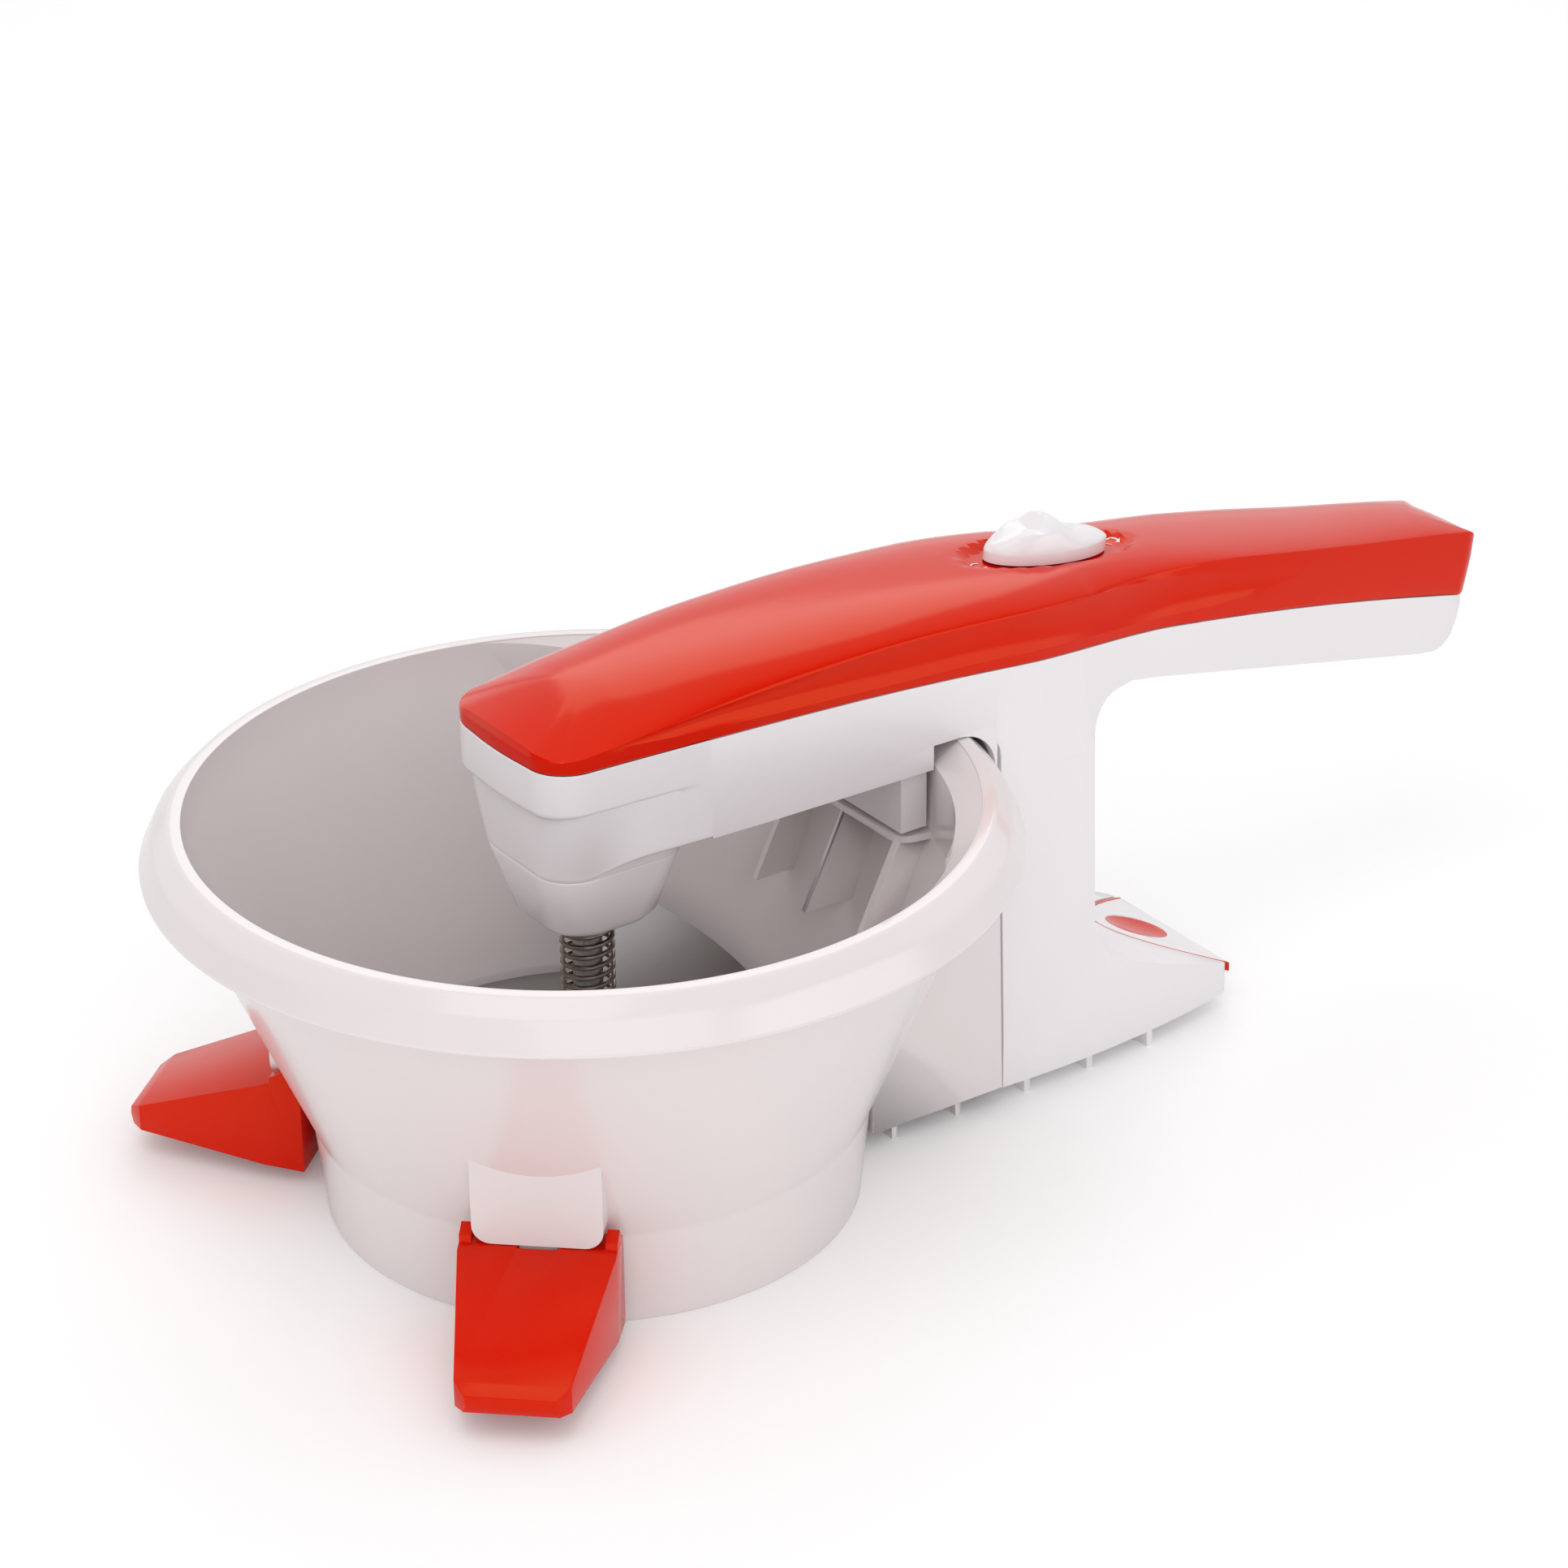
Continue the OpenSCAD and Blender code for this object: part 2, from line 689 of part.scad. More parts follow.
function tail_top(x) = base_z + 12.6 - 0.39 * (x - tail_x + 12);
function panel_w(x) = (base_w(tail_x) - 1.5) * sqrt(max(0, (x - panel_x) / (tail_x - panel_x)));

// Plan of the release panel, grown by g all round its curved edge.
function panel_side(g) = [for (u = [0:0.125:1]) let(x = panel_x - g + (tail_x - panel_x + 5) * u * u)
    [x, -panel_w(panel_x + (tail_x - panel_x + 5) * u * u) - (u > 0 ? g : 0)]];
function panel_plan(g) = concat(panel_side(g), flip(panel_side(g)));

module nose_skirt() {
    hull() {
        intersection() {
            upright(arm_plan, arm_z + 6, arm_z + 7);
            slab(-40, boss_half + 2, 60, 0, 200);
        }
        translate([0, 0, boss_z]) linear_extrude(0.1) rounded_square(boss_half + 0.4, boss_round);
    }
}

module housing_shell() {
    difference() {
        union() {
            housing_block(arm_plan, base_plan, side_view, 0);
            slab(leg_x - leg_t, leg_x, leg_half, leg_z, arm_z + 4);
            nose_skirt();
        }
        housing_block(inset(arm_plan, shell), inset(base_plan, shell),
            inset(side_view, shell), shell);
        intersection() {
            upright(inset(arm_plan, shell), 0, 200);
            crosswise(concat([for (x = [-nose_reach + shell:12:handle_end]) [x, part_at(x) - 3]],
                [[handle_end + 6, part_z + 30], [shell - nose_reach, part_z + 30]]), 60);
        }
        ring(lip_r + 0.8, crest_r - 4, lip_z - 1.5, arch_z);
        rod(cap_ring_r + 0.05, boss_z - 1, arm_z + shell);
        translate([handle_end - 10, 0, end_low + 11]) bar(5, 0, 20);
    }
}

module lower_housing() {
    tray = panel_plan(rim_line + 0.5);
    color(white) {
        difference() {
            union() {
                housing_shell();
                intersection() {
                    drafted(col_x, tail_x, 2);
                    pot_ribs([col_x + 9.5, col_x + 32, col_x + 54]);
                }
            }
            upright(tray, base_z + shell, 60);
            slab(col_x - 1, col_x + shell + 1, lever_half + 1, pivot_z - 3.2, pivot_z + 9);
        }
        for (s = [-1, 1]) difference() {
            translate([0, s * (lever_half + gap + 2), 0])
                slab(pivot_x - 5, pivot_x + 5, 2, base_z + 1, pivot_z + 5);
            translate([pivot_x, 0, pivot_z]) rotate([90, 0, 0])
                cylinder(r = pin_r, h = 40, center = true);
        }
        motor_saddle(gear_x + 12);
        motor_saddle(gear_x + gear_l + 8);
        motor_saddle(gear_x + gear_l + motor_l - 8);
        for (x = [board_x + 4, board_x + board_l - 4], y = [-9, 9])
            translate([x, y, under_at(x) + 1]) cylinder(r = 2, h = board_z - under_at(x) - 1);
    }
}

module motor_saddle(x) {
    difference() {
        slab(x, x + 2.4, motor_d / 2, arm_z + 1, shaft_z - 3);
        translate([0, 0, shaft_z]) bar(motor_d / 2 - (x < gear_x + gear_l ? 1 : 0), x - 1, x + 4);
    }
}

board_x = col_back + 38;
board_l = 38;
board_t = 1.6;
board_z = under_at(board_x) + shell + 3;

module control_board() {
    color([0.15, 0.4, 0.2]) {
        slab(board_x, board_x + board_l, 13, board_z, board_z + board_t);
        slab(board_x + 4, board_x + 14, 6, board_z + board_t, board_z + 9);
        translate([board_x + 24, 0, board_z + board_t]) cylinder(r = 5, h = 7);
    }
}

module cord_gland() {
    z = end_low + 11;
    color(dark) translate([0, 0, z]) difference() {
        union() {
            bar(5, handle_end - 12, handle_end - 2.5);
            bar(6.4, handle_end - 14, handle_end - 11);
        }
        bar(3.2, handle_end - 15, handle_end);
    }
}

// ---- Cover ----

scallop_d = 1.5;

// Places along the cover from nose to handle end, and the half-width there.
function nose_w(x) = arm_w(nose_round - nose_reach) - nose_round
    + sqrt(max(0, sq(nose_round) - sq(x + nose_reach - nose_round)));
function end_w(x) = handle_half(handle_end) - end_round
    + sqrt(max(0, sq(end_round) - sq(x - handle_end + end_round)));
function cover_w(x) = x < nose_round - nose_reach ? nose_w(x)
    : x > handle_end - end_round ? end_w(x) : arm_w(x);
cover_x = concat([for (a = [0:18:90]) nose_round * (1 - cos(a)) - nose_reach],
    [for (x = [-2:17:handle_end - 12]) x],
    [for (a = [0:22.5:90]) handle_end - end_round * (1 - sin(a))]);

// Half of the cover's section: height above the parting line and inset from its edge.
function section(x, t) =
    let(w = cover_w(x) - t, z0 = part_at(x) + gap,
        dn = x + nose_reach, de = handle_end - x,
        soft = 3.4 * sq(max(0, 1 - dn / 9)) + 3 * sq(max(0, 1 - de / 7)),
        z1 = top_at(x) - soft - t, h = z1 - z0,
        k = min(1, max(0, (x + 20) / 25)) * (1 - smooth((x - col_x - 60) / 50)),
        d = t > 0 ? 0 : scallop_d * k)
    [[w, 0], [w, 0.3 * h], [w - 0.55 * d, 0.42 * h], [w - d, 0.6 * h], [w - 0.6 * d, 0.78 * h],
     [w - 0.3, h - 1.7], [w - 1.2, h - 0.5], [w - 3.4, h + 0.15], [w * 0.6, h + 0.95],
     [0, h + 1.4]];

function lean(x, z) = smooth((x - handle_end + 50) / 50) * max(0, z - end_z) * 0.24;

module upper_cover_shell() {
    n = len(cover_x);
    x_at = [cover_x, [for (i = [0:n - 1]) i == 0 ? cover_x[0] + shell
        : i == n - 1 ? cover_x[i] - shell
        : min(handle_end - shell - 0.001 * (n - i), max(cover_x[i], shell - nose_reach + 0.001 * i))]];
    loops = [for (side = [0, 1], i = [0:n - 1])
        let(x = cover_x[i], t = side * shell, s = section(x, t), z0 = part_at(x) + gap,
            full = concat([for (p = s) [-p.x, p.y]], [for (j = [len(s) - 2:-1:0]) s[j]]))
        [for (p = full) [x_at[side][i] + lean(x, z0 + p.y), p.x, z0 + p.y]]];
    m = len(loops[0]);
    pts = [for (l = loops, p = l) p];
    off = n * m;
    edge = concat([for (i = [0:n - 1]) i * m], [for (i = [n - 1:-1:0]) i * m + m - 1]);
    ne = len(edge);
    faces = concat(
        [for (i = [0:n - 2], j = [0:m - 2]) [i * m + j, i * m + j + 1, (i + 1) * m + j + 1]],
        [for (i = [0:n - 2], j = [0:m - 2]) [i * m + j, (i + 1) * m + j + 1, (i + 1) * m + j]],
        [for (i = [0:n - 2], j = [0:m - 2]) [off + i * m + j, off + (i + 1) * m + j + 1,
            off + i * m + j + 1]],
        [for (i = [0:n - 2], j = [0:m - 2]) [off + i * m + j, off + (i + 1) * m + j,
            off + (i + 1) * m + j + 1]],
        [for (j = [1:m - 2]) [0, j + 1, j]],
        [for (j = [1:m - 2]) [off, off + j, off + j + 1]],
        [for (j = [1:m - 2]) [(n - 1) * m, (n - 1) * m + j, (n - 1) * m + j + 1]],
        [for (j = [1:m - 2]) [off + (n - 1) * m, off + (n - 1) * m + j + 1, off + (n - 1) * m + j]],
        [for (k = [0:ne - 1]) let(q = (k + 1) % ne) [edge[k], edge[q], off + edge[q]]],
        [for (k = [0:ne - 1]) let(q = (k + 1) % ne) [edge[k], off + edge[q], off + edge[k]]]);
    polyhedron(pts, faces, convexity = 10);
}

// Puts a shape on the cover's top at the switch, tilted with the surface.
module at_switch() {
    translate([switch_x, 0, top_at(switch_x) + 1.4]) rotate([0, switch_slope, 0]) children();
}

module upper_cover() {
    color(red) difference() {
        union() {
            upper_cover_shell();
            at_switch() translate([0, 0, -dish_depth - 2.2])
                linear_extrude(2) polygon(oval(dish_l + 3, dish_w + 3));
        }
        at_switch() translate([0, 0, -dish_depth])
            linear_extrude(8) polygon(oval(dish_l, dish_w));
        at_switch() translate([0, 0, -8]) slot(knob_stem_l + 2 * knob_travel, knob_stem_w, 10);
    }
}

module slot(l, w, h) {
    translate([-l / 2 - gap, -w / 2 - gap, 0]) cube([l + 2 * gap, w + 2 * gap, h]);
}

module switch_knob() {
    z0 = gap - dish_depth;
    half = knob_l / 2;
    color(white) at_switch() {
        intersection() {
            crosswise(concat([[-half, z0], [half, z0]],
                arc([half - 4, knob_h - 10.2], 4, 0, 84, 5), [[half - 17, knob_h - 5.2]],
                arc([-4.5, knob_h - 4.6], 3.2, 40, 140, 5),
                arc([-half + 1.5, knob_h + 6.4], 15, 317, 275, 6)), 20);
            upright(oval(knob_l, knob_w), z0, 30);
        }
        slot_stem(z0);
    }
}

module slot_stem(z0) {
    translate([-knob_stem_l / 2, -knob_stem_w / 2, -7]) cube([knob_stem_l, knob_stem_w, 7 + z0 + 1]);
}

module switch_body() {
    color(dark) at_switch() difference() {
        translate([-17, -9, -22]) cube([34, 18, 16.4]);
        translate([0, 0, -12]) slot(knob_stem_l + 2 * knob_travel, knob_stem_w, 10);
    }
}

// ---- Release ----

module release_lever() {
    top = tail_top(pad_x);
    color(red) difference() {
        union() {
            crosswise([[col_x - 5.4, pivot_z + 3], [col_x - 5.4, pivot_z - 1.4],
                [col_x - 4.2, pivot_z - 1.4], [col_x - 4.2, pivot_z + 1.2],
                [pivot_x - 6, pivot_z - 2.2], [pivot_x, pivot_z - 3.6],
                [tail_x - 30, pivot_z - 2.2], [tail_x - 24, tail_top(tail_x - 24) - 2.5],
                [tail_x - 29, tail_top(tail_x - 29) - 2.5], [tail_x - 34, pivot_z + 4.2],
                [pivot_x, pivot_z + 4.4], [col_x + 4, pivot_z + 5.6],
                [col_x - 4.4, pivot_z + 5.6]], lever_half);
            intersection() {
                upright(panel_plan(rim_line), 0, 60);
                crosswise([[panel_x - 2, tail_top(panel_x - 2) - tray_t],
                    [tail_x - 1.2, tail_top(tail_x - 1.2) - tray_t],
                    [tail_x - 1.2, tail_top(tail_x - 1.2) - 0.2],
                    [panel_x - 2, tail_top(panel_x - 2) - 0.2]], 40);
            }
            translate([spring_x, 0, 0]) rod(4.6, spring_top, tail_top(spring_x) - 2);
        }
        difference() {
            intersection() {
                upright(panel_plan(0), 0, 60);
                crosswise([[panel_x - 3, tail_top(panel_x - 3) - panel_t - 0.2],
                    [tail_x + 1, tail_top(tail_x + 1) - panel_t - 0.2],
                    [tail_x + 1, 60], [panel_x - 3, 60]], 40);
            }
            translate([pad_x, 0, 0]) upright(oval(pad_l, pad_wd), 0, 60);
        }
        intersection() {
            translate([pad_x, 0, top - 1.4] + pad_curve * unit([0.39, 0, 1]))
                sphere(r = pad_curve, $fn = 96);
            translate([pad_x, 0, 0]) upright(oval(pad_l, pad_wd), 0, 60);
        }
        translate([pivot_x, 0, pivot_z]) rotate([90, 0, 0])
            cylinder(r = pin_r + shaft_gap, h = 40, center = true);
    }
}

module release_panel() {
    top = tail_top(pad_x);
    color(white) difference() {
        intersection() {
            upright(panel_plan(0), 0, 60);
            crosswise([[panel_x - 3, tail_top(panel_x - 3) - panel_t - 0.2],
                [tail_x - 1.2, tail_top(tail_x - 1.2) - panel_t - 0.2],
                [tail_x - 1.2, tail_top(tail_x - 1.2) - 0.2],
                [panel_x - 3, tail_top(panel_x - 3) - 0.2]], 40);
        }
        translate([pad_x, 0, 0]) upright(oval(pad_l, pad_wd), 0, 60);
    }
}

module lever_pin() {
    color(steel) translate([pivot_x, 0, pivot_z]) rotate([90, 0, 0])
        cylinder(r = pin_r, h = 2 * (lever_half + gap + 4), center = true);
}

module lever_spring() {
    color(steel) translate([spring_x, 0, 0])
        coil(3.4, 0.4, base_z + shell, spring_top, 4);
}

bowl();
foot_left();
foot_right();
mill_disc();
blade();
spindle();
pressure_spring();
scraper();
spindle_nut();
crown_wheel();
pinion_shaft();
gearhead();
motor_can();
motor_end_cap();
gear_bracket();
upper_bush();
lower_bush();
shaft_seal();
boss_cap();
lower_housing();
upper_cover();
switch_knob();
switch_body();
control_board();
cord_gland();
release_lever();
release_panel();
lever_pin();
lever_spring();
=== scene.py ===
"""Dresses the electric food mill: mouldings with softened edges, finishes, light and camera."""

import logging
import math
from contextlib import contextmanager
from dataclasses import dataclass, field
from enum import Enum
from typing import Callable, Iterator, Sequence

import bpy
from mathutils import Matrix, Vector


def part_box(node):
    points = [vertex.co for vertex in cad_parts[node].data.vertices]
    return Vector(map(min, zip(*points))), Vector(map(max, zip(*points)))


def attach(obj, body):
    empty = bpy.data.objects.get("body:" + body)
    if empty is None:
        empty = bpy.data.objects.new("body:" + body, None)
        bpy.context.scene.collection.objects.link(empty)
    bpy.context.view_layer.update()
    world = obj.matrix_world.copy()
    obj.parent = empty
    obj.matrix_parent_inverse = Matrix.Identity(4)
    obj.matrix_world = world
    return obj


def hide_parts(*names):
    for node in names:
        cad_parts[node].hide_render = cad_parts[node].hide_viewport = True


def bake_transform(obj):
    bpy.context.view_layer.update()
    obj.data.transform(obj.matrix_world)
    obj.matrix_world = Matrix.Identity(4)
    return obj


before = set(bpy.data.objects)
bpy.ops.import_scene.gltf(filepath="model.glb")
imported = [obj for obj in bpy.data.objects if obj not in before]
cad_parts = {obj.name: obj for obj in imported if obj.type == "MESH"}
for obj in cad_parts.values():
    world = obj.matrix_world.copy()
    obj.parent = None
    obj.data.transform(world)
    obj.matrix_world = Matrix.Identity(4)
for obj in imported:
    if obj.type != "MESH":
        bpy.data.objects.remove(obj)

LOG = logging.getLogger("food_mill")
MM = 0.001
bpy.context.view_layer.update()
# Corners closer than this are one corner, in metres, and faces flatter than this are one face.
SAME_PLACE = 0.01 * MM
FLAT = math.radians(0.6)

Point2 = tuple[float, float]
Point3 = tuple[float, float, float]


class Body(Enum):
    """The bodies of the frame that a new piece can ride on."""

    MILL = "mill"
    DRIVE = "drive"
    BLADE = "blade"
    KNOB = "knob"
    RELEASE = "release"
    FOOT_LEFT = "foot_left"
    FOOT_RIGHT = "foot_right"


class Pattern(Enum):
    """What the surface of a finish shows at close range."""

    MOULDED = "moulded"
    BRUSHED = "brushed"
    DRAWN = "drawn"
    CAST = "cast"


# How a pattern squeezes the relief along each axis of the piece.
STRETCH: dict[Pattern, Point3] = {
    Pattern.MOULDED: (1, 1, 1), Pattern.BRUSHED: (1, 30, 30), Pattern.DRAWN: (1, 1, 0.05),
    Pattern.CAST: (1, 1, 1)}


# ---- Finishes ----


def linear(hex_colour: str) -> tuple[float, float, float, float]:
    """Turns an sRGB hex colour into linear light.

    Args:
        hex_colour: Six hex digits, such as "d8120a".

    Returns:
        Red, green, blue and an alpha of 1, in linear light.
    """
    parts = [int(hex_colour[i:i + 2], 16) / 255 for i in (0, 2, 4)]
    rgb = [c / 12.92 if c <= 0.04045 else ((c + 0.055) / 1.055) ** 2.4 for c in parts]
    return rgb[0], rgb[1], rgb[2], 1.0


def add_node(tree: bpy.types.NodeTree, kind: str, settings: dict | None = None,
             links: dict | None = None, **values: object) -> bpy.types.Node:
    """Adds one shader node with its settings, socket values and incoming links.

    Args:
        tree: The material's node tree.
        kind: The node's type name.
        settings: Attributes set on the node itself.
        links: Input socket name or index to the output socket that feeds it.
        values: Input socket names, with _ for a space, to their values.

    Returns:
        The new node.
    """
    node = tree.nodes.new(kind)
    for key, value in (settings or {}).items():
        setattr(node, key, value)
    for key, value in values.items():
        node.inputs[key.replace("_", " ")].default_value = value
    for key, socket in (links or {}).items():
        tree.links.new(socket, node.inputs[key])
    return node


@dataclass(frozen=True)
class Finish:
    """One surface finish, as its maker would name it.

    Attributes:
        name: The material's name.
        colour: sRGB hex of the surface.
        tint: sRGB hex that the surface drifts towards in broad soft patches.
        roughness: Microscopic roughness.
        metallic: 1 for bare metal, otherwise 0.
        coat: Strength of the clear skin that a polished mould leaves.
        grain_mm: Size of the relief that the light picks up.
        relief: Strength of that relief.
        pattern: The kind of relief.
        ior: Index of refraction of a non-metal.
        mirror_tint: sRGB hex that tints what the skin mirrors.
        mirror: How strongly the skin mirrors, 0.5 being a clean dielectric.
        octaves: Fineness of the relief's noise.
        waver: How rough each octave of it is.
        depth: Height of the relief for each millimetre of grain.
        patches: Size of the colour's soft patches, in patches to the metre.
        dulling: Roughness in the relief's valleys and on its peaks, as shares.
        coat_roughness: Roughness of the clear skin.
    """

    name: str
    colour: str
    tint: str
    roughness: float
    metallic: float = 0.0
    coat: float = 0.0
    grain_mm: float = 2.0
    relief: float = 0.04
    pattern: Pattern = Pattern.MOULDED
    ior: float = 1.5
    mirror_tint: str = "ffffff"
    mirror: float = 0.5
    octaves: float = 3.0
    waver: float = 0.55
    depth: float = 0.05
    patches: float = 14.0
    dulling: Point2 = (0.9, 1.12)
    coat_roughness: float = 0.06

    def build(self) -> bpy.types.Material:
        """Builds the material's nodes.

        Returns:
            The material.
        """
        material = bpy.data.materials.new(self.name)
        material.use_nodes = True
        tree = material.node_tree
        shader = next(n for n in tree.nodes if n.type == "BSDF_PRINCIPLED")
        place = add_node(tree, "ShaderNodeTexCoord")
        mapping = add_node(tree, "ShaderNodeMapping", links={"Vector": place.outputs["Object"]},
                           Scale=STRETCH[self.pattern])
        grain = add_node(tree, "ShaderNodeTexNoise", links={"Vector": mapping.outputs[0]},
                         Scale=1 / (self.grain_mm * MM), Detail=self.octaves,
                         Roughness=self.waver)
        broad = add_node(tree, "ShaderNodeTexNoise", links={"Vector": place.outputs["Object"]},
                         Scale=self.patches, Detail=2.0)
        mix = add_node(tree, "ShaderNodeMix", {"data_type": "RGBA"},
                       {"Factor": broad.outputs["Fac"]})
        mix.inputs["A"].default_value = linear(self.colour)
        mix.inputs["B"].default_value = linear(self.tint)
        tree.links.new(mix.outputs["Result"], shader.inputs["Base Color"])
        bump = add_node(tree, "ShaderNodeBump", links={"Height": grain.outputs["Fac"]},
                        Strength=self.relief, Distance=self.depth * self.grain_mm * MM)
        tree.links.new(bump.outputs["Normal"], shader.inputs["Normal"])
        spread = add_node(tree, "ShaderNodeMapRange", links={"Value": grain.outputs["Fac"]},
                          To_Min=self.roughness * self.dulling[0],
                          To_Max=self.roughness * self.dulling[1])
        tree.links.new(spread.outputs["Result"], shader.inputs["Roughness"])
        shader.inputs["Metallic"].default_value = self.metallic
        shader.inputs["Coat Weight"].default_value = self.coat
        shader.inputs["Coat Roughness"].default_value = self.coat_roughness
        if not self.metallic:
            shader.inputs["IOR"].default_value = self.ior
            shader.inputs["Specular IOR Level"].default_value = self.mirror
            shader.inputs["Specular Tint"].default_value = linear(self.mirror_tint)
            shader.inputs["Coat Tint"].default_value = linear(self.mirror_tint)
        return material


# Injection-moulded ABS: a bright even skin with the faint ripple of a polished mould.
WHITE_ABS = Finish("white_abs", "f3eff1", "efeaed", 0.22, coat=0.25, grain_mm=3.0, relief=0.03)
# The bowl's white: a touch warmer than the motor unit's, its pink a painted reflection of the red
# parts' glow.
BOWL_ABS_RED_GLOW = Finish("bowl_abs_red_glow", "ece4e4", "e8e0df", 0.2, coat=0.3, grain_mm=3.0, relief=0.03)
# The same resin in red: saturated, a little deeper in broad patches, and just as glossy.
RED_ABS = Finish("red_abs", "df0d02", "d60801", 0.15, grain_mm=3.0, relief=0.03,
                 mirror_tint="f6ffa0", mirror=0.3)
# Stamped stainless steel, brushed along the strip: fine parallel lines that stretch highlights.
STAINLESS = Finish("brushed_stainless", "b9b8b6", "a9a8a6", 0.28, 1.0, grain_mm=0.8, relief=0.2,
                   pattern=Pattern.BRUSHED)
# Drawn spring wire, oil-toned: darker and warmer than sheet, smooth round the wire.
SPRING_WIRE = Finish("spring_wire", "8b8078", "6f655e", 0.3, 1.0, grain_mm=0.6, relief=0.08,
                     pattern=Pattern.DRAWN)
# Zinc-plated motor parts: a grey metal with a slightly cloudy skin.
ZINC = Finish("zinc_plate", "a6a8aa", "93969a", 0.38, 1.0, grain_mm=1.2, relief=0.1)
# Sintered bronze bushes: brown-gold, fine pores.
BRONZE = Finish("sintered_bronze", "a87f43", "8f6a36", 0.42, 1.0, grain_mm=0.3, relief=0.3,
                pattern=Pattern.CAST)
# Nitrile rubber: almost black, dull, with a dry bloom.
NITRILE = Finish("nitrile_rubber", "1b1b1d", "252527", 0.62, grain_mm=0.5, relief=0.2, ior=1.52)
# Glass-filled nylon in black: dull, faintly grainy.
BLACK_NYLON = Finish("black_nylon", "1d1e20", "26272a", 0.5, grain_mm=0.6, relief=0.15, ior=1.53)
# Glass-epoxy circuit board: green resin over a woven core.
BOARD = Finish("epoxy_board", "1f5a34", "1a4e2c", 0.35, coat=0.2, grain_mm=0.8, relief=0.15)
# Pad-printed white ink: a thin even film, a little duller than the plastic under it.
WHITE_INK = Finish("white_ink", "f4f2f0", "eeebe9", 0.45, grain_mm=0.4, relief=0.1)

FINISH_OF: dict[str, Finish] = {
    "bowl": BOWL_ABS_RED_GLOW, "lower_housing": WHITE_ABS, "boss_cap": WHITE_ABS,
    "release_panel": WHITE_ABS, "switch_knob": WHITE_ABS, "spindle_nut": WHITE_ABS,
    "crown_wheel": WHITE_ABS, "upper_cover": RED_ABS, "foot_left": RED_ABS,
    "foot_right": RED_ABS, "release_lever": RED_ABS, "mill_disc": STAINLESS,
    "blade": STAINLESS, "spindle": STAINLESS, "scraper": STAINLESS, "pinion_shaft": STAINLESS,
    "lever_pin": STAINLESS, "pressure_spring": SPRING_WIRE, "lever_spring": SPRING_WIRE,
    "gearhead": ZINC, "motor_can": ZINC, "gear_bracket": ZINC, "upper_bush": BRONZE,
    "lower_bush": BRONZE, "shaft_seal": NITRILE, "cord_gland": NITRILE,
    "motor_end_cap": BLACK_NYLON, "switch_body": BLACK_NYLON, "control_board": BOARD,
}


class Paint:
    """Keeps one material for each finish and puts it on pieces."""

    def __init__(self) -> None:
        """Starts with no materials built."""
        self._built: dict[str, bpy.types.Material] = {}

    def dress(self, piece: bpy.types.Object, finish: Finish) -> None:
        """Gives a piece one finish all over.

        Args:
            piece: The piece to dress.
            finish: Its finish.
        """
        if finish.name not in self._built:
            self._built[finish.name] = finish.build()
        piece.data.materials.clear()
        piece.data.materials.append(self._built[finish.name])


# ---- Modelling steps ----


def report(piece: bpy.types.Object) -> None:
    """Logs a piece that is ready."""
    LOG.info("%s: %d faces", piece.name, len(piece.data.polygons))


def only(piece: bpy.types.Object) -> bpy.types.Object:
    """Makes a piece the only selected and the active one.

    Args:
        piece: The piece to select.

    Returns:
        The same piece.
    """
    if bpy.context.mode != "OBJECT":
        bpy.ops.object.mode_set(mode="OBJECT")
    bpy.ops.object.select_all(action="DESELECT")
    piece.select_set(True)
    bpy.context.view_layer.objects.active = piece
    return piece


@contextmanager
def whole_mesh(piece: bpy.types.Object) -> Iterator[None]:
    """Opens a piece's mesh for editing with all of it selected, and closes it again.

    Args:
        piece: The piece to edit.

    Yields:
        Nothing; the editing steps run meanwhile.
    """
    only(piece)
    bpy.ops.object.mode_set(mode="EDIT")
    bpy.ops.mesh.select_all(action="SELECT")
    yield
    bpy.ops.object.mode_set(mode="OBJECT")


def apply_modifiers(piece: bpy.types.Object) -> None:
    """Applies every modifier of a piece in order.

    Args:
        piece: The piece that carries them.
    """
    only(piece)
    for modifier in list(piece.modifiers):
        bpy.ops.object.modifier_apply(modifier=modifier.name)


def shade(piece: bpy.types.Object, degrees: float = 32.0) -> bpy.types.Object:
    """Shades a piece smooth, with a crease wherever its faces turn sharply.

    Args:
        piece: The piece to shade.
        degrees: The largest turn between faces that still looks smooth.

    Returns:
        The same piece.
    """
    only(piece)
    bpy.ops.object.shade_smooth_by_angle(angle=math.radians(degrees))
    return piece


def soften(piece: bpy.types.Object, width_mm: float, segments: int = 3,
           degrees: float = 32.0) -> bpy.types.Object:
    """Rounds a piece's sharp edges, as a mould's parting and polishing leave them.

    Args:
        piece: The piece to round.
        width_mm: Width of the rounding on each side of an edge.
        segments: Faces across the rounding.
        degrees: Edges sharper than this are rounded.

    Returns:
        The same piece, its modifiers applied.
    """
    bevel = piece.modifiers.new("edge_radius", "BEVEL")
    bevel.width = width_mm * MM
    bevel.segments = segments
    bevel.limit_method = "ANGLE"
    bevel.angle_limit = math.radians(degrees)
    bevel.use_clamp_overlap = True
    bevel.miter_outer = "MITER_ARC"
    apply_modifiers(piece)
    return piece


def face_outwards(piece: bpy.types.Object) -> bpy.types.Object:
    """Merges a piece's doubles and turns its faces outwards.

    Args:
        piece: The piece to close.

    Returns:
        The same piece.
    """
    with whole_mesh(piece):
        bpy.ops.mesh.remove_doubles(threshold=SAME_PLACE)
        bpy.ops.mesh.normals_make_consistent(inside=False)
    return piece


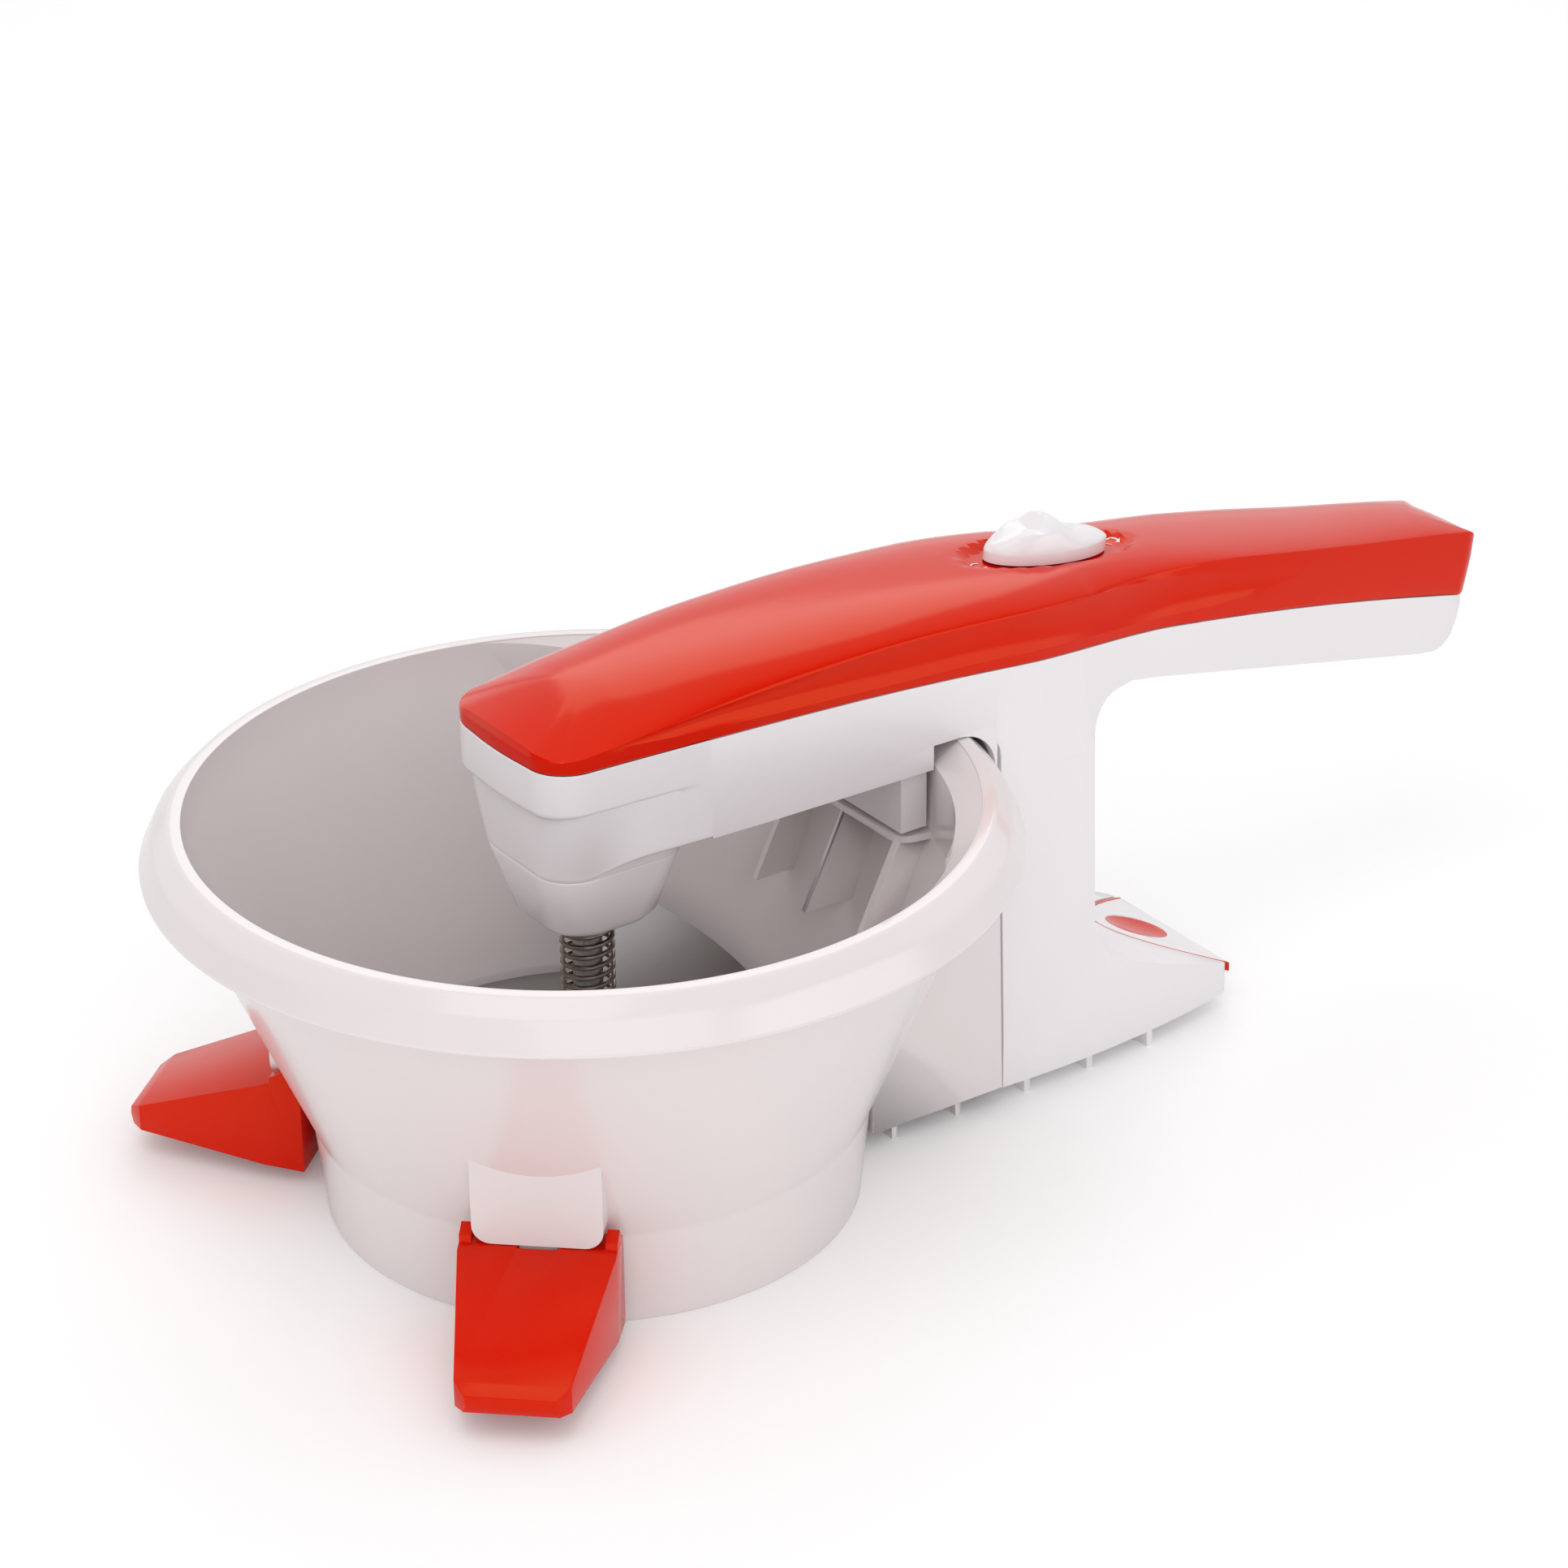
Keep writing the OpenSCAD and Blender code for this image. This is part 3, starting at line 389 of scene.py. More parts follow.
def copy_of(node: str, name: str) -> bpy.types.Object:
    """Copies a CAD node's mesh into a new piece with its flat faces made whole again.

    Args:
        node: The CAD node.
        name: Name of the new piece.

    Returns:
        The copy, at the origin.
    """
    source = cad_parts[node]
    piece = bpy.data.objects.new(name, source.data.copy())
    bpy.context.scene.collection.objects.link(piece)
    with whole_mesh(piece):
        bpy.ops.mesh.remove_doubles(threshold=SAME_PLACE)
        bpy.ops.mesh.dissolve_limited(angle_limit=FLAT)
    return piece


def outline_loop(name: str, points: Sequence[Point3]) -> bpy.types.Object:
    """Adds a circle primitive and sets its corners along a closed outline.

    Args:
        name: Name of the new piece.
        points: Corners of the outline in order, in millimetres.

    Returns:
        The piece, a single closed loop of edges.
    """
    if bpy.context.mode != "OBJECT":
        bpy.ops.object.mode_set(mode="OBJECT")
    bpy.ops.object.select_all(action="DESELECT")
    bpy.ops.mesh.primitive_circle_add(vertices=len(points), radius=1.0)
    piece = bpy.context.active_object
    piece.name = name
    for corner, point in zip(piece.data.vertices, points):
        corner.co = Vector(point) * MM
    return piece


def revolve(name: str, profile: Sequence[Point2], steps: int = 160) -> bpy.types.Object:
    """Spins a closed profile of (radius, height) round the bowl axis.

    Args:
        name: Name of the new piece.
        profile: The profile's corners in millimetres.
        steps: Faces round the turn.

    Returns:
        The revolved piece, closed and facing outwards.
    """
    piece = outline_loop(name, [(r, 0.0, z) for r, z in profile])
    with whole_mesh(piece):
        bpy.ops.mesh.spin(steps=steps, angle=2 * math.pi, center=(0, 0, 0), axis=(0, 0, 1))
    return face_outwards(piece)


def plate(name: str, outline: Sequence[Point3], push: Point3) -> bpy.types.Object:
    """Fills a closed outline and pushes the face out into a solid.

    Args:
        name: Name of the new piece.
        outline: The outline's corners in millimetres.
        push: The way and distance that the face is pushed, in millimetres.

    Returns:
        The solid piece, facing outwards.
    """
    piece = outline_loop(name, outline)
    with whole_mesh(piece):
        bpy.ops.mesh.edge_face_add()
        bpy.ops.mesh.extrude_region_move(
            TRANSFORM_OT_translate={"value": tuple(v * MM for v in push)})
    return face_outwards(piece)


def joined(name: str, pieces: Sequence[bpy.types.Object]) -> bpy.types.Object:
    """Joins several pieces into the first, under a new name.

    Args:
        name: Name of the whole.
        pieces: The pieces to join.

    Returns:
        The joined piece.
    """
    only(pieces[0])
    for piece in pieces[1:]:
        piece.select_set(True)
    bpy.ops.object.join()
    pieces[0].name = name
    return pieces[0]


def grid_shape(name: str, across: int, along: int,
               place: Callable[[float, float], Point3]) -> bpy.types.Object:
    """Adds a grid primitive and sets each corner by a formula of its two shares.

    Args:
        name: Name of the new piece.
        across: Faces across the first share.
        along: Faces along the second share.
        place: Turns two shares from 0 to 1 into a point in millimetres.

    Returns:
        The shaped piece.
    """
    if bpy.context.mode != "OBJECT":
        bpy.ops.object.mode_set(mode="OBJECT")
    bpy.ops.object.select_all(action="DESELECT")
    bpy.ops.mesh.primitive_grid_add(x_subdivisions=across, y_subdivisions=along, size=2.0)
    piece = bpy.context.active_object
    piece.name = name
    for corner in piece.data.vertices:
        u, v = (corner.co.x + 1) / 2, (corner.co.y + 1) / 2
        corner.co = Vector(place(u, v)) * MM
    return piece


def eased(share: float) -> float:
    """Runs smoothly from 0 to 1 as the share does, and stays there outside it."""
    c = min(1.0, max(0.0, share))
    return c * c * (3 - 2 * c)


def eased_over(run: Point2, x: float) -> float:
    """Runs smoothly from 0 to 1 from a run's start on, over the run's length."""
    return eased((x - run[0]) / run[1])


def bowed(bow: Point3, x: float) -> float:
    """Height of a long arc at a place, from the place, height and radius of its top."""
    top, height, radius = bow
    return height - (radius - math.sqrt(radius ** 2 - (x - top) ** 2))


def smoothly(table: Sequence[Point2], x: float) -> float:
    """Reads a short table with a smooth curve through its values.

    Args:
        table: (place, value) pairs in order of place.
        x: The place to read.

    Returns:
        The value there, or the nearest end's value outside the table.
    """
    if x <= table[0][0]:
        return table[0][1]
    if x >= table[-1][0]:
        return table[-1][1]
    k = next(i for i in range(len(table) - 1) if x <= table[i + 1][0])
    (x0, v0), (x1, v1) = table[k], table[k + 1]
    chord = (v1 - v0) / (x1 - x0)
    before = (v0 - table[k - 1][1]) / (x0 - table[k - 1][0]) if k else chord
    after = ((table[k + 2][1] - v1) / (table[k + 2][0] - x1)
             if k + 2 < len(table) else chord)
    t, h = (x - x0) / (x1 - x0), x1 - x0
    m0, m1 = (before + chord) / 2, (chord + after) / 2
    return ((2 * t ** 3 - 3 * t ** 2 + 1) * v0 + (t ** 3 - 2 * t ** 2 + t) * h * m0
            + (3 * t ** 2 - 2 * t ** 3) * v1 + (t ** 3 - t ** 2) * h * m1)


@dataclass(frozen=True)
class ArmForm:
    """Plan and long curves that the cover and the housing share, in millimetres.

    Attributes:
        nose: Reach of the nose past the bowl axis.
        end: Place of the handle's end at the parting line.
        half: Half-width of the arm beside the rim.
        column: Front of the column.
        nose_round: Radius of the nose corners in plan.
        end_round: Radius of the handle end's corners in plan.
        nose_face: Bulge of the nose's face, and the half-width over which it fades.
        end_face: The same for the handle's end.
        waist: Where the arm starts to narrow towards the nose.
        nose_taper: How much each side has come in one nose_run in front of that.
        nose_run: Length that sets how fast the nose narrows.
        swell: How much wider than beside the rim the arm is where the neck starts.
        neck: (distance behind the column's front, length) of the neck.
        neck_in: How much each side comes in over the neck.
        handle_in: How much each side comes in over the handle.
        parting_bow: (place, height, radius) at the top of the parting line.
        ridge_bow: (place, height, radius) at the top of the shoulder line.
        ridge_run: Distance behind the column's front where the shoulder line leaves its arc.
        ridge_slope: Its fall for each millimetre from there on.
        ridge_bend: Length that sets how fast that fall grows.
    """

    nose: float = 25.5
    end: float = 301.5
    half: float = 30.0
    column: float = 115.0
    nose_round: float = 12.0
    end_round: float = 7.0
    nose_face: Point2 = (0.8, 14.0)
    end_face: Point2 = (0.5, 9.0)
    waist: float = 60.0
    nose_taper: float = 4.0
    nose_run: float = 85.0
    swell: float = 0.5
    neck: Point2 = (5.0, 70.0)
    neck_in: float = 8.5
    handle_in: float = 7.0
    parting_bow: Point3 = (8.0, 138.0, 1180.0)
    ridge_bow: Point3 = (68.0, 153.0, 680.0)
    ridge_run: float = 65.0
    ridge_slope: float = 0.167
    ridge_bend: float = 5200.0

    def width(self, x: float) -> float:
        """Finds the half-width of the arm.

        Args:
            x: Place along the arm.

        Returns:
            The half-width there.
        """
        neck, handle = self.column + self.neck[0], self.column + sum(self.neck)
        if x < self.waist:
            return self.half - self.nose_taper * ((self.waist - x) / self.nose_run) ** 2
        if x < neck:
            return self.half + self.swell * (x - self.waist) / (neck - self.waist)
        wide = self.half + self.swell
        if x < handle:
            return wide - self.neck_in * eased((x - neck) / self.neck[1])
        return wide - self.neck_in - self.handle_in * (x - handle) / (self.end - handle)

    def parting(self, x: float) -> float:
        """Height of the parting line."""
        return bowed(self.parting_bow, x)

    def ridge(self, x: float) -> float:
        """Finds the height of the cover's shoulder line.

        Args:
            x: Place along the arm.

        Returns:
            The height there.
        """
        start = self.column + self.ridge_run
        past = max(0.0, x - start)
        return (bowed(self.ridge_bow, min(x, start)) - self.ridge_slope * past
                - past ** 2 / self.ridge_bend)

    def perimeter(self, count: int = 12, pitch: float = 4.0) -> list[tuple[Point2, Point2]]:
        """Walks the plan outline from the middle of the nose round to it again.

        Args:
            count: Steps round each corner.
            pitch: Distance between points along the sides.

        Returns:
            Points with their outward normals, anticlockwise from above.
        """
        r, q = self.nose_round, self.end_round
        bulge, reach = self.nose_face
        near: list[Point2] = [(-self.nose - bulge * (1 - (y / reach) ** 2), -y)
                              for y in (0, 4, 8, 11)]
        corner = (r - self.nose, r - self.width(r - self.nose))
        near += [(corner[0] + r * math.cos(a), corner[1] + r * math.sin(a))
                 for a in (math.pi * (1 + i / count / 2) for i in range(count + 1))]
        steps = int((self.end - q - corner[0]) / pitch)
        near += [(x, -self.width(x)) for x in
                 (corner[0] + (self.end - q - corner[0]) * i / steps for i in range(1, steps))]
        last = (self.end - q, q - self.width(self.end - q))
        near += [(last[0] + q * math.cos(a), last[1] + q * math.sin(a))
                 for a in (math.pi * (1.5 + i / count / 2) for i in range(count + 1))]
        bulge, reach = self.end_face
        near += [(self.end + bulge * (1 - (y / reach) ** 2), -y) for y in (6, 3, 0)]
        loop = near + [(x, -y) for x, y in reversed(near[1:-1])]
        found = []
        for i, (x, y) in enumerate(loop):
            (x0, y0), (x1, y1) = loop[i - 1], loop[(i + 1) % len(loop)]
            size = math.hypot(x1 - x0, y1 - y0)
            found.append(((x, y), ((y1 - y0) / size, (x0 - x1) / size)))
        return found


@dataclass
class Cover:
    """The glossy top cover: crowned top, scalloped sides and the switch's dish.

    Attributes:
        form: The arm's shared plan and curves.
        lower_crease: (x, z) of the scallop's lower crease.
        upper_crease: (x, z) of the scallop's upper crease, which is the side's top elsewhere.
        scallop: Depth of the scallop.
        scallop_in: (start, length) of the run in which the scallop opens.
        scallop_out: (start, length) of the run in which it closes.
        hollow: How much the scallop bulges inwards between its creases.
        seam: Gap between the cover and the housing.
        foot: How far the skin's lower edge comes in.
        lip: (inset, height) of the lip inside the seam.
        crease_floor: Least height of the lower and the upper crease over that edge.
        crown_height: Rise of the top's centre line over the shoulder line.
        shoulder: How far the shoulder line lies above the side's edge.
        shoulder_in: How far the top's edge comes in from the side.
        shoulder_run: (start, length) of the run in which the side grows up to the shoulder.
        nose_run: (start, length) of the run in which the top's crisp nose softens.
        tail_run: (start, length) of the run in which the top flattens to the handle.
        bend: How the top's curve bends at the arm, and what nose and tail add.
        lift: How early it rises at the arm, and what nose and tail add.
        nose_lift: (rise, half-width, start, length) of the side's top across the nose.
        end_drop: Fall of the side's top at the handle's end, and the length it takes.
        spine_start: Where the crown's centre line starts.
        spine_stop: Where it stops.
        lean: How much the end face leans back for each millimetre of height.
        lean_run: Length over which the lean sets in.
        dish_place: Middle of the switch's dish along the arm.
        dish_half: Half-length and half-width of the dish.
        dish_depth: Depth of the dish.
        dish_flat: Share of the dish that is flat.
    """

    form: ArmForm = field(default_factory=ArmForm)
    lower_crease: Sequence[Point2] = ((-8, 142.9), (24, 141), (55, 139.7), (81, 138.3),
                                      (108, 137), (136, 134.5), (167, 130.6), (199, 127.2),
                                      (222, 126.9), (240, 127.0))
    upper_crease: Sequence[Point2] = ((-26, 141.2), (-16, 142.1), (4.5, 144.4), (24, 145.9),
                                      (55, 147.6), (81, 148.3), (108, 147.3), (136, 145.4),
                                      (167, 142), (199, 136.4), (230, 129.3), (240, 127.2),
                                      (258, 123), (302, 112))
    scallop: float = 1.5
    scallop_in: Point2 = (-10.0, 40.0)
    scallop_out: Point2 = (190.0, 45.0)
    hollow: float = 1.9
    seam: float = 0.3
    foot: float = 0.2
    lip: Point2 = (1.6, 3.0)
    crease_floor: Point2 = (0.6, 1.0)
    crown_height: float = 1.4
    shoulder: float = 0.4
    shoulder_in: float = 0.5
    shoulder_run: Point2 = (150.0, 60.0)
    nose_run: Point2 = (-22.0, 70.0)
    tail_run: Point2 = (165.0, 60.0)
    bend: Point3 = (2.7, -0.7, -0.4)
    lift: Point3 = (0.62, 0.38, 0.2)
    nose_lift: tuple[float, float, float, float] = (2.6, 25.0, -26.0, 10.0)
    end_drop: Point2 = (2.2, 6.0)
    spine_start: float = 2.0
    spine_stop: float = 284.0
    lean: float = 0.24
    lean_run: float = 50.0
    dish_place: float = 153.0
    dish_half: Point2 = (30.8, 12.6)
    dish_depth: float = 2.2
    dish_flat: float = 0.84

    def edge_height(self, x: float, y: float) -> float:
        """Finds the height where the side face gives way to the crowned top.

        Args:
            x: Place along the arm.
            y: Place across it.

        Returns:
            The height there.
        """
        high = self.form.ridge(x) - self.shoulder
        low = smoothly(self.upper_crease, x)
        soft = low + (high - low) * eased_over(self.shoulder_run, x)
        rise, half, start, length = self.nose_lift
        front = rise * (1 - min(1.0, abs(y) / half) ** 2) * (1 - eased_over((start, length), x))
        end = self.end_drop[0] * (1 - eased((self.form.end - x) / self.end_drop[1]))
        return soft + front - end

    def crown(self, x: float) -> float:
        """Height of the top on the centre line."""
        return self.form.ridge(x) + self.crown_height

    def sunk(self, x: float, y: float) -> float:
        """Finds how far a place of the top lies below the crown, in the dish.

        Args:
            x: Place along the arm.
            y: Place across it.

        Returns:
            The depth there, 0 outside the dish.
        """
        out = math.hypot((x - self.dish_place) / self.dish_half[0], y / self.dish_half[1])
        return self.dish_depth * (1 - eased_over((self.dish_flat, 1 - self.dish_flat), out))

    def rows(self) -> list[tuple[str, float]]:
        """Names the rows of the skin from the inner lip up to the spine.

        Returns:
            Kind of each row, and its share of that kind's height or width.
        """
        rows = [("lip", self.lip[1]), ("lip", 0.0), ("foot", 0.0), ("side", 0.06),
                ("side", 0.5), ("side", 1.0)]
        rows += [("band", t / 8) for t in range(1, 9)]
        rows += [("brow", t / 3) for t in (1, 2, 3)]
        rows += [("top", 0.5 * (1 - math.cos(math.pi * t / 44))) for t in range(1, 23)]
        rows += [("top", 0.5 + 0.5 * t / 8) for t in range(1, 9)]
        return rows

    def top(self, x: float, start: Point2, edge: float, t: float) -> Point3:
        """Finds a point of the crowned top.

        Args:
            x: Place along the arm of the outline's point below.
            start: That point in plan, brought in to the top's edge.
            edge: Height of that edge.
            t: Share of the way from the edge to the spine.

        Returns:
            The point, before the end face's lean.
        """
        sharp, tail = 1 - eased_over(self.nose_run, x), eased_over(self.tail_run, x)
        bend, lift = (a + b * sharp + c * tail for a, b, c in (self.bend, self.lift))
        spine = min(max(x, self.spine_start), self.spine_stop)
        px, py = start[0] + (spine - start[0]) * t, start[1] * (1 - t)
        middle = spine if spine == x else px
        z = edge + (self.crown(middle) - edge) * (1 - (1 - t) ** bend) ** lift
        return px, py, z - self.sunk(px, py)

    def point(self, place: Point2, normal: Point2, row: tuple[str, float]) -> Point3:
        """Finds the point of the skin above one place of the outline.

        Args:
            place: Point of the plan outline.
            normal: Its outward normal.
            row: Kind of row and its share.

        Returns:
            The point in millimetres.
        """
        (x, y), (kind, t) = place, row
        base = self.form.parting(x) + self.seam
        edge = self.edge_height(x, y)
        high = min(max(smoothly(self.upper_crease, x), base + self.crease_floor[1]), edge)
        low = min(max(smoothly(self.lower_crease, x), base + self.crease_floor[0]), high)
        if x < self.lower_crease[0][0]:
            low = high
        depth = self.scallop * eased_over(self.scallop_in, x) * (1 - eased_over(self.scallop_out, x))
        brow = self.shoulder_in if edge > high else 0.0
        inset, z = {
            "lip": (self.lip[0], base + t),
            "foot": (self.foot, base),
            "side": (0.0, base + (low - base) * t),
            "band": (depth * (t + self.hollow * t * (1 - t)), low + (high - low) * t),
            "brow": (depth + brow * t, high + (edge - high) * t),
            "top": (depth + brow, edge),
        }[kind]
        px, py = x - normal[0] * inset, y - normal[1] * inset
        if kind == "top":
            px, py, z = self.top(x, (px, py), edge, t)
        slant = self.lean * eased_over((self.form.end - self.lean_run, self.lean_run), px)
        return px + slant * max(0.0, z - self.form.parting(self.form.end)), py, z

    def build(self, paint: Paint) -> None:
        """Builds the cover's skin and lets it stand for the CAD cover.

        Args:
            paint: The materials.
        """
        outline = self.form.perimeter(14, 2.2)
        rows = self.rows()
        across, up = len(outline), len(rows) - 1

        def place(u: float, v: float) -> Point3:
            """Point of the skin at two shares, round the outline and up the rows."""
            spot, normal = outline[round(u * across) % across]
            return self.point(spot, normal, rows[round(v * up)])

        piece = grid_shape("cover_skin", across, up, place)
        face_outwards(piece)
        shade(piece, 17)
        paint.dress(piece, RED_ABS)
        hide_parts("upper_cover")
        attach(piece, Body.MILL.value)
        report(piece)


# ---- Sub-assemblies ----


def filleted(corners: Sequence[tuple[float, float, float]], steps: int = 5) -> list[Point2]:
    """Rounds the corners of a closed outline.

    Args:
        corners: (across, up, radius) of each corner in order.
        steps: Edges round each corner.

    Returns:
        The outline's points.
    """
    found: list[Point2] = []
    for i, (x, y, r) in enumerate(corners):
        here = Vector((x, y))
        before = Vector(corners[i - 1][:2]) - here
        after = Vector(corners[(i + 1) % len(corners)][:2]) - here
        half = before.angle(after) / 2
        reach = min(r / math.tan(half), 0.45 * before.length, 0.45 * after.length)
        if reach < 0.02:
            found.append((x, y))
            continue
        u, v = before.normalized(), after.normalized()
        centre = here + (u + v).normalized() * reach / math.cos(half)
        a, b = here + u * reach - centre, here + v * reach - centre
        turn = a.angle(b)
        for k in range(steps + 1):
            t = k / steps
            spot = centre + (a * math.sin((1 - t) * turn) + b * math.sin(t * turn)) / math.sin(turn)
            found.append((spot.x, spot.y))
    return found


def near_outline(outline: Sequence[Point2], spot: Point2, reach: float) -> bool:
    """Says whether a point lies close to a closed outline.

    Args:
        outline: The outline's corners in order.
        spot: The point.
        reach: The distance that counts as close.

    Returns:
        True where it does.
    """
    here = Vector(spot)
    for i, corner in enumerate(outline):
        a, b = Vector(outline[i - 1]), Vector(corner)
        along = b - a
        share = min(1.0, max(0.0, (here - a).dot(along) / max(along.length_squared, 1e-12)))
        if (here - a - share * along).length < reach:
            return True
    return False


@dataclass
class Bowl:
    """The bowl: a finely turned wall and rim, with the brackets and tongues it carries.

    Attributes:
        profile: (radius, height, corner radius) round the wall, in millimetres.
        steps: Faces round the turn.
        pad_from: Angle at which each rim pad leaves the leg, degrees.
        pad_full: Angle up to which it keeps its full width.
        pad_end: Angle at which it has run out into the rim.
        pad_inner: Radius of its inner wall at full width.
        pad_out: Radius of that wall where the pad has run out.
        pad_crest: (radius, height) of its top's outer edge.
        pad_fall: Fall of its top for each millimetre inwards.
        pad_round: Height of the softening under its top's inner edge.
        pad_sunk: How deep its foot is sunk in the bowl's wall.
        pad_root: (radius, height) of its section's corner inside the rim.
        wall_line: Radius at which the bowl's inner wall would meet z = 0, and what it
            gains for each millimetre of height.
        skin: How near to the profile the corners of the turned skin lie.
        square: Largest share of such a skin face's normal that points along the turn.
        edge_radius: Rounding of the fittings' edges.
    """

    profile: Sequence[tuple[float, float, float]] = (
        (70, 0, 0.5), (73, 0, 0.4), (75.7, 27.5, 8), (107, 103, 1.0), (108.6, 108.5, 0.8),
        (112.1, 108.5, 0.8), (114, 103, 0.9), (116.5, 103, 0.6), (116.6, 104.2, 1.0),
        (113.2, 111.4, 8), (108.6, 116, 2.2), (105, 116, 1.1), (105, 115.5, 0), (104.1, 103, 0),
        (72.8, 27.5, 4), (72.3, 24.4, 0.3), (66.3, 24.4, 0.2), (66.3, 22, 0.2), (71.1, 22, 0.4),
        (70, 10, 0.5))
    steps: int = 240
    pad_from: float = 16.5
    pad_full: float = 40.0
    pad_end: float = 78.0
    pad_inner: float = 97.9
    pad_out: float = 105.3
    pad_crest: Point2 = (105.6, 116.05)
    pad_fall: float = 0.78
    pad_round: float = 0.6
    pad_sunk: float = 0.8
    pad_root: Point2 = (106.0, 112.0)
    wall_line: Point2 = (61.4, 0.41457)
    skin: float = 0.12
    square: float = 0.12
    edge_radius: float = 0.7

    def pad_section(self, turn: float) -> list[Point2]:
        """Finds the section of a rim pad, which stands on the bowl's inner wall.

        Args:
            turn: Angle from the leg, degrees.

        Returns:
            The section's corners as (radius, height).
        """
        share = eased((turn - self.pad_full) / (self.pad_end - self.pad_full))
        inner = self.pad_inner + (self.pad_out - self.pad_inner) * share
        top = self.pad_crest[1] - (self.pad_crest[0] - inner) * self.pad_fall
        foot = (inner - self.wall_line[0]) / self.wall_line[1] - self.pad_sunk
        return [(inner + 0.5, top + 0.3), (inner + 0.1, top), (inner, top - self.pad_round),
                (inner, foot), (inner + 0.4, foot - 0.5), self.pad_root, self.pad_crest]

    def pad(self, way: int) -> bpy.types.Object:
        """Builds one rim pad, which widens the rim towards the arm's leg.

        Args:
            way: 1 or -1 for the side of the arm.

        Returns:
            The pad.
        """
        corners = len(self.pad_section(self.pad_from))

        def place(u: float, v: float) -> Point3:
            """Finds a point of the pad.

            Args:
                u: Share of the way along the rim.
                v: Share of the way round the section.

            Returns:
                The point in millimetres.
            """
            turn = self.pad_from + (self.pad_end - self.pad_from) * u
            r, z = self.pad_section(turn)[round(v * corners) % corners]
            angle = math.radians(turn) * way
            return r * math.cos(angle), r * math.sin(angle), z

        return face_outwards(grid_shape(f"pad_{way}", 72, corners, place))

    def pads(self) -> bpy.types.Object:
        """Builds the rim pads on both sides of the arm as one piece."""
        return shade(joined("rim_pads", [self.pad(way) for way in (-1, 1)]), 30)

    def of_the_turn(self, piece: bpy.types.Object, face: bpy.types.MeshPolygon) -> bool:
        """Says whether a face belongs to the turned wall and not to a fitting.

        Args:
            piece: The bowl's copy.
            face: One of its faces.

        Returns:
            True where all its corners lie on the profile and it doesn't face along the turn.
        """
        outline = [(r, z) for r, z, _ in self.profile]
        spots = [piece.data.vertices[i].co / MM for i in face.vertices]
        out = Vector((spots[0].x + spots[1].x, spots[0].y + spots[1].y, 0)).normalized()
        across = abs(face.normal.dot(Vector((-out.y, out.x, 0))))
        return across < self.square and all(
            near_outline(outline, (math.hypot(s.x, s.y), s.z), self.skin) for s in spots)

    def fittings(self) -> bpy.types.Object:
        """Copies what stands on the wall: bracket, ribs, shelf, rim pad and tongues.

        Returns:
            The fittings in one piece.
        """
        piece = copy_of("bowl", "bowl_fittings")
        with whole_mesh(piece):
            bpy.ops.mesh.select_mode(type="FACE")
            bpy.ops.mesh.select_all(action="DESELECT")
        for face in piece.data.polygons:
            face.select = self.of_the_turn(piece, face)
        bpy.ops.object.mode_set(mode="EDIT")
        bpy.ops.mesh.delete(type="FACE")
        bpy.ops.mesh.select_all(action="SELECT")
        bpy.ops.mesh.delete_loose()
        bpy.ops.mesh.select_mode(type="VERT")
        bpy.ops.object.mode_set(mode="OBJECT")
        soften(piece, self.edge_radius)
        return shade(piece)

    def build(self, paint: Paint) -> None:
        """Builds the wall and its fittings and lets them stand for the CAD bowl.

        Args:
            paint: The materials.
        """
        wall = revolve("bowl_wall", filleted(self.profile, 6), self.steps)
        shade(wall, 30)
        for piece in (wall, self.fittings(), self.pads()):
            # The bowl's finish carries painted pink: the glow reflected from the red cover and feet.
            paint.dress(piece, BOWL_ABS_RED_GLOW)
            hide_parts("bowl")
            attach(piece, Body.MILL.value)
            report(piece)


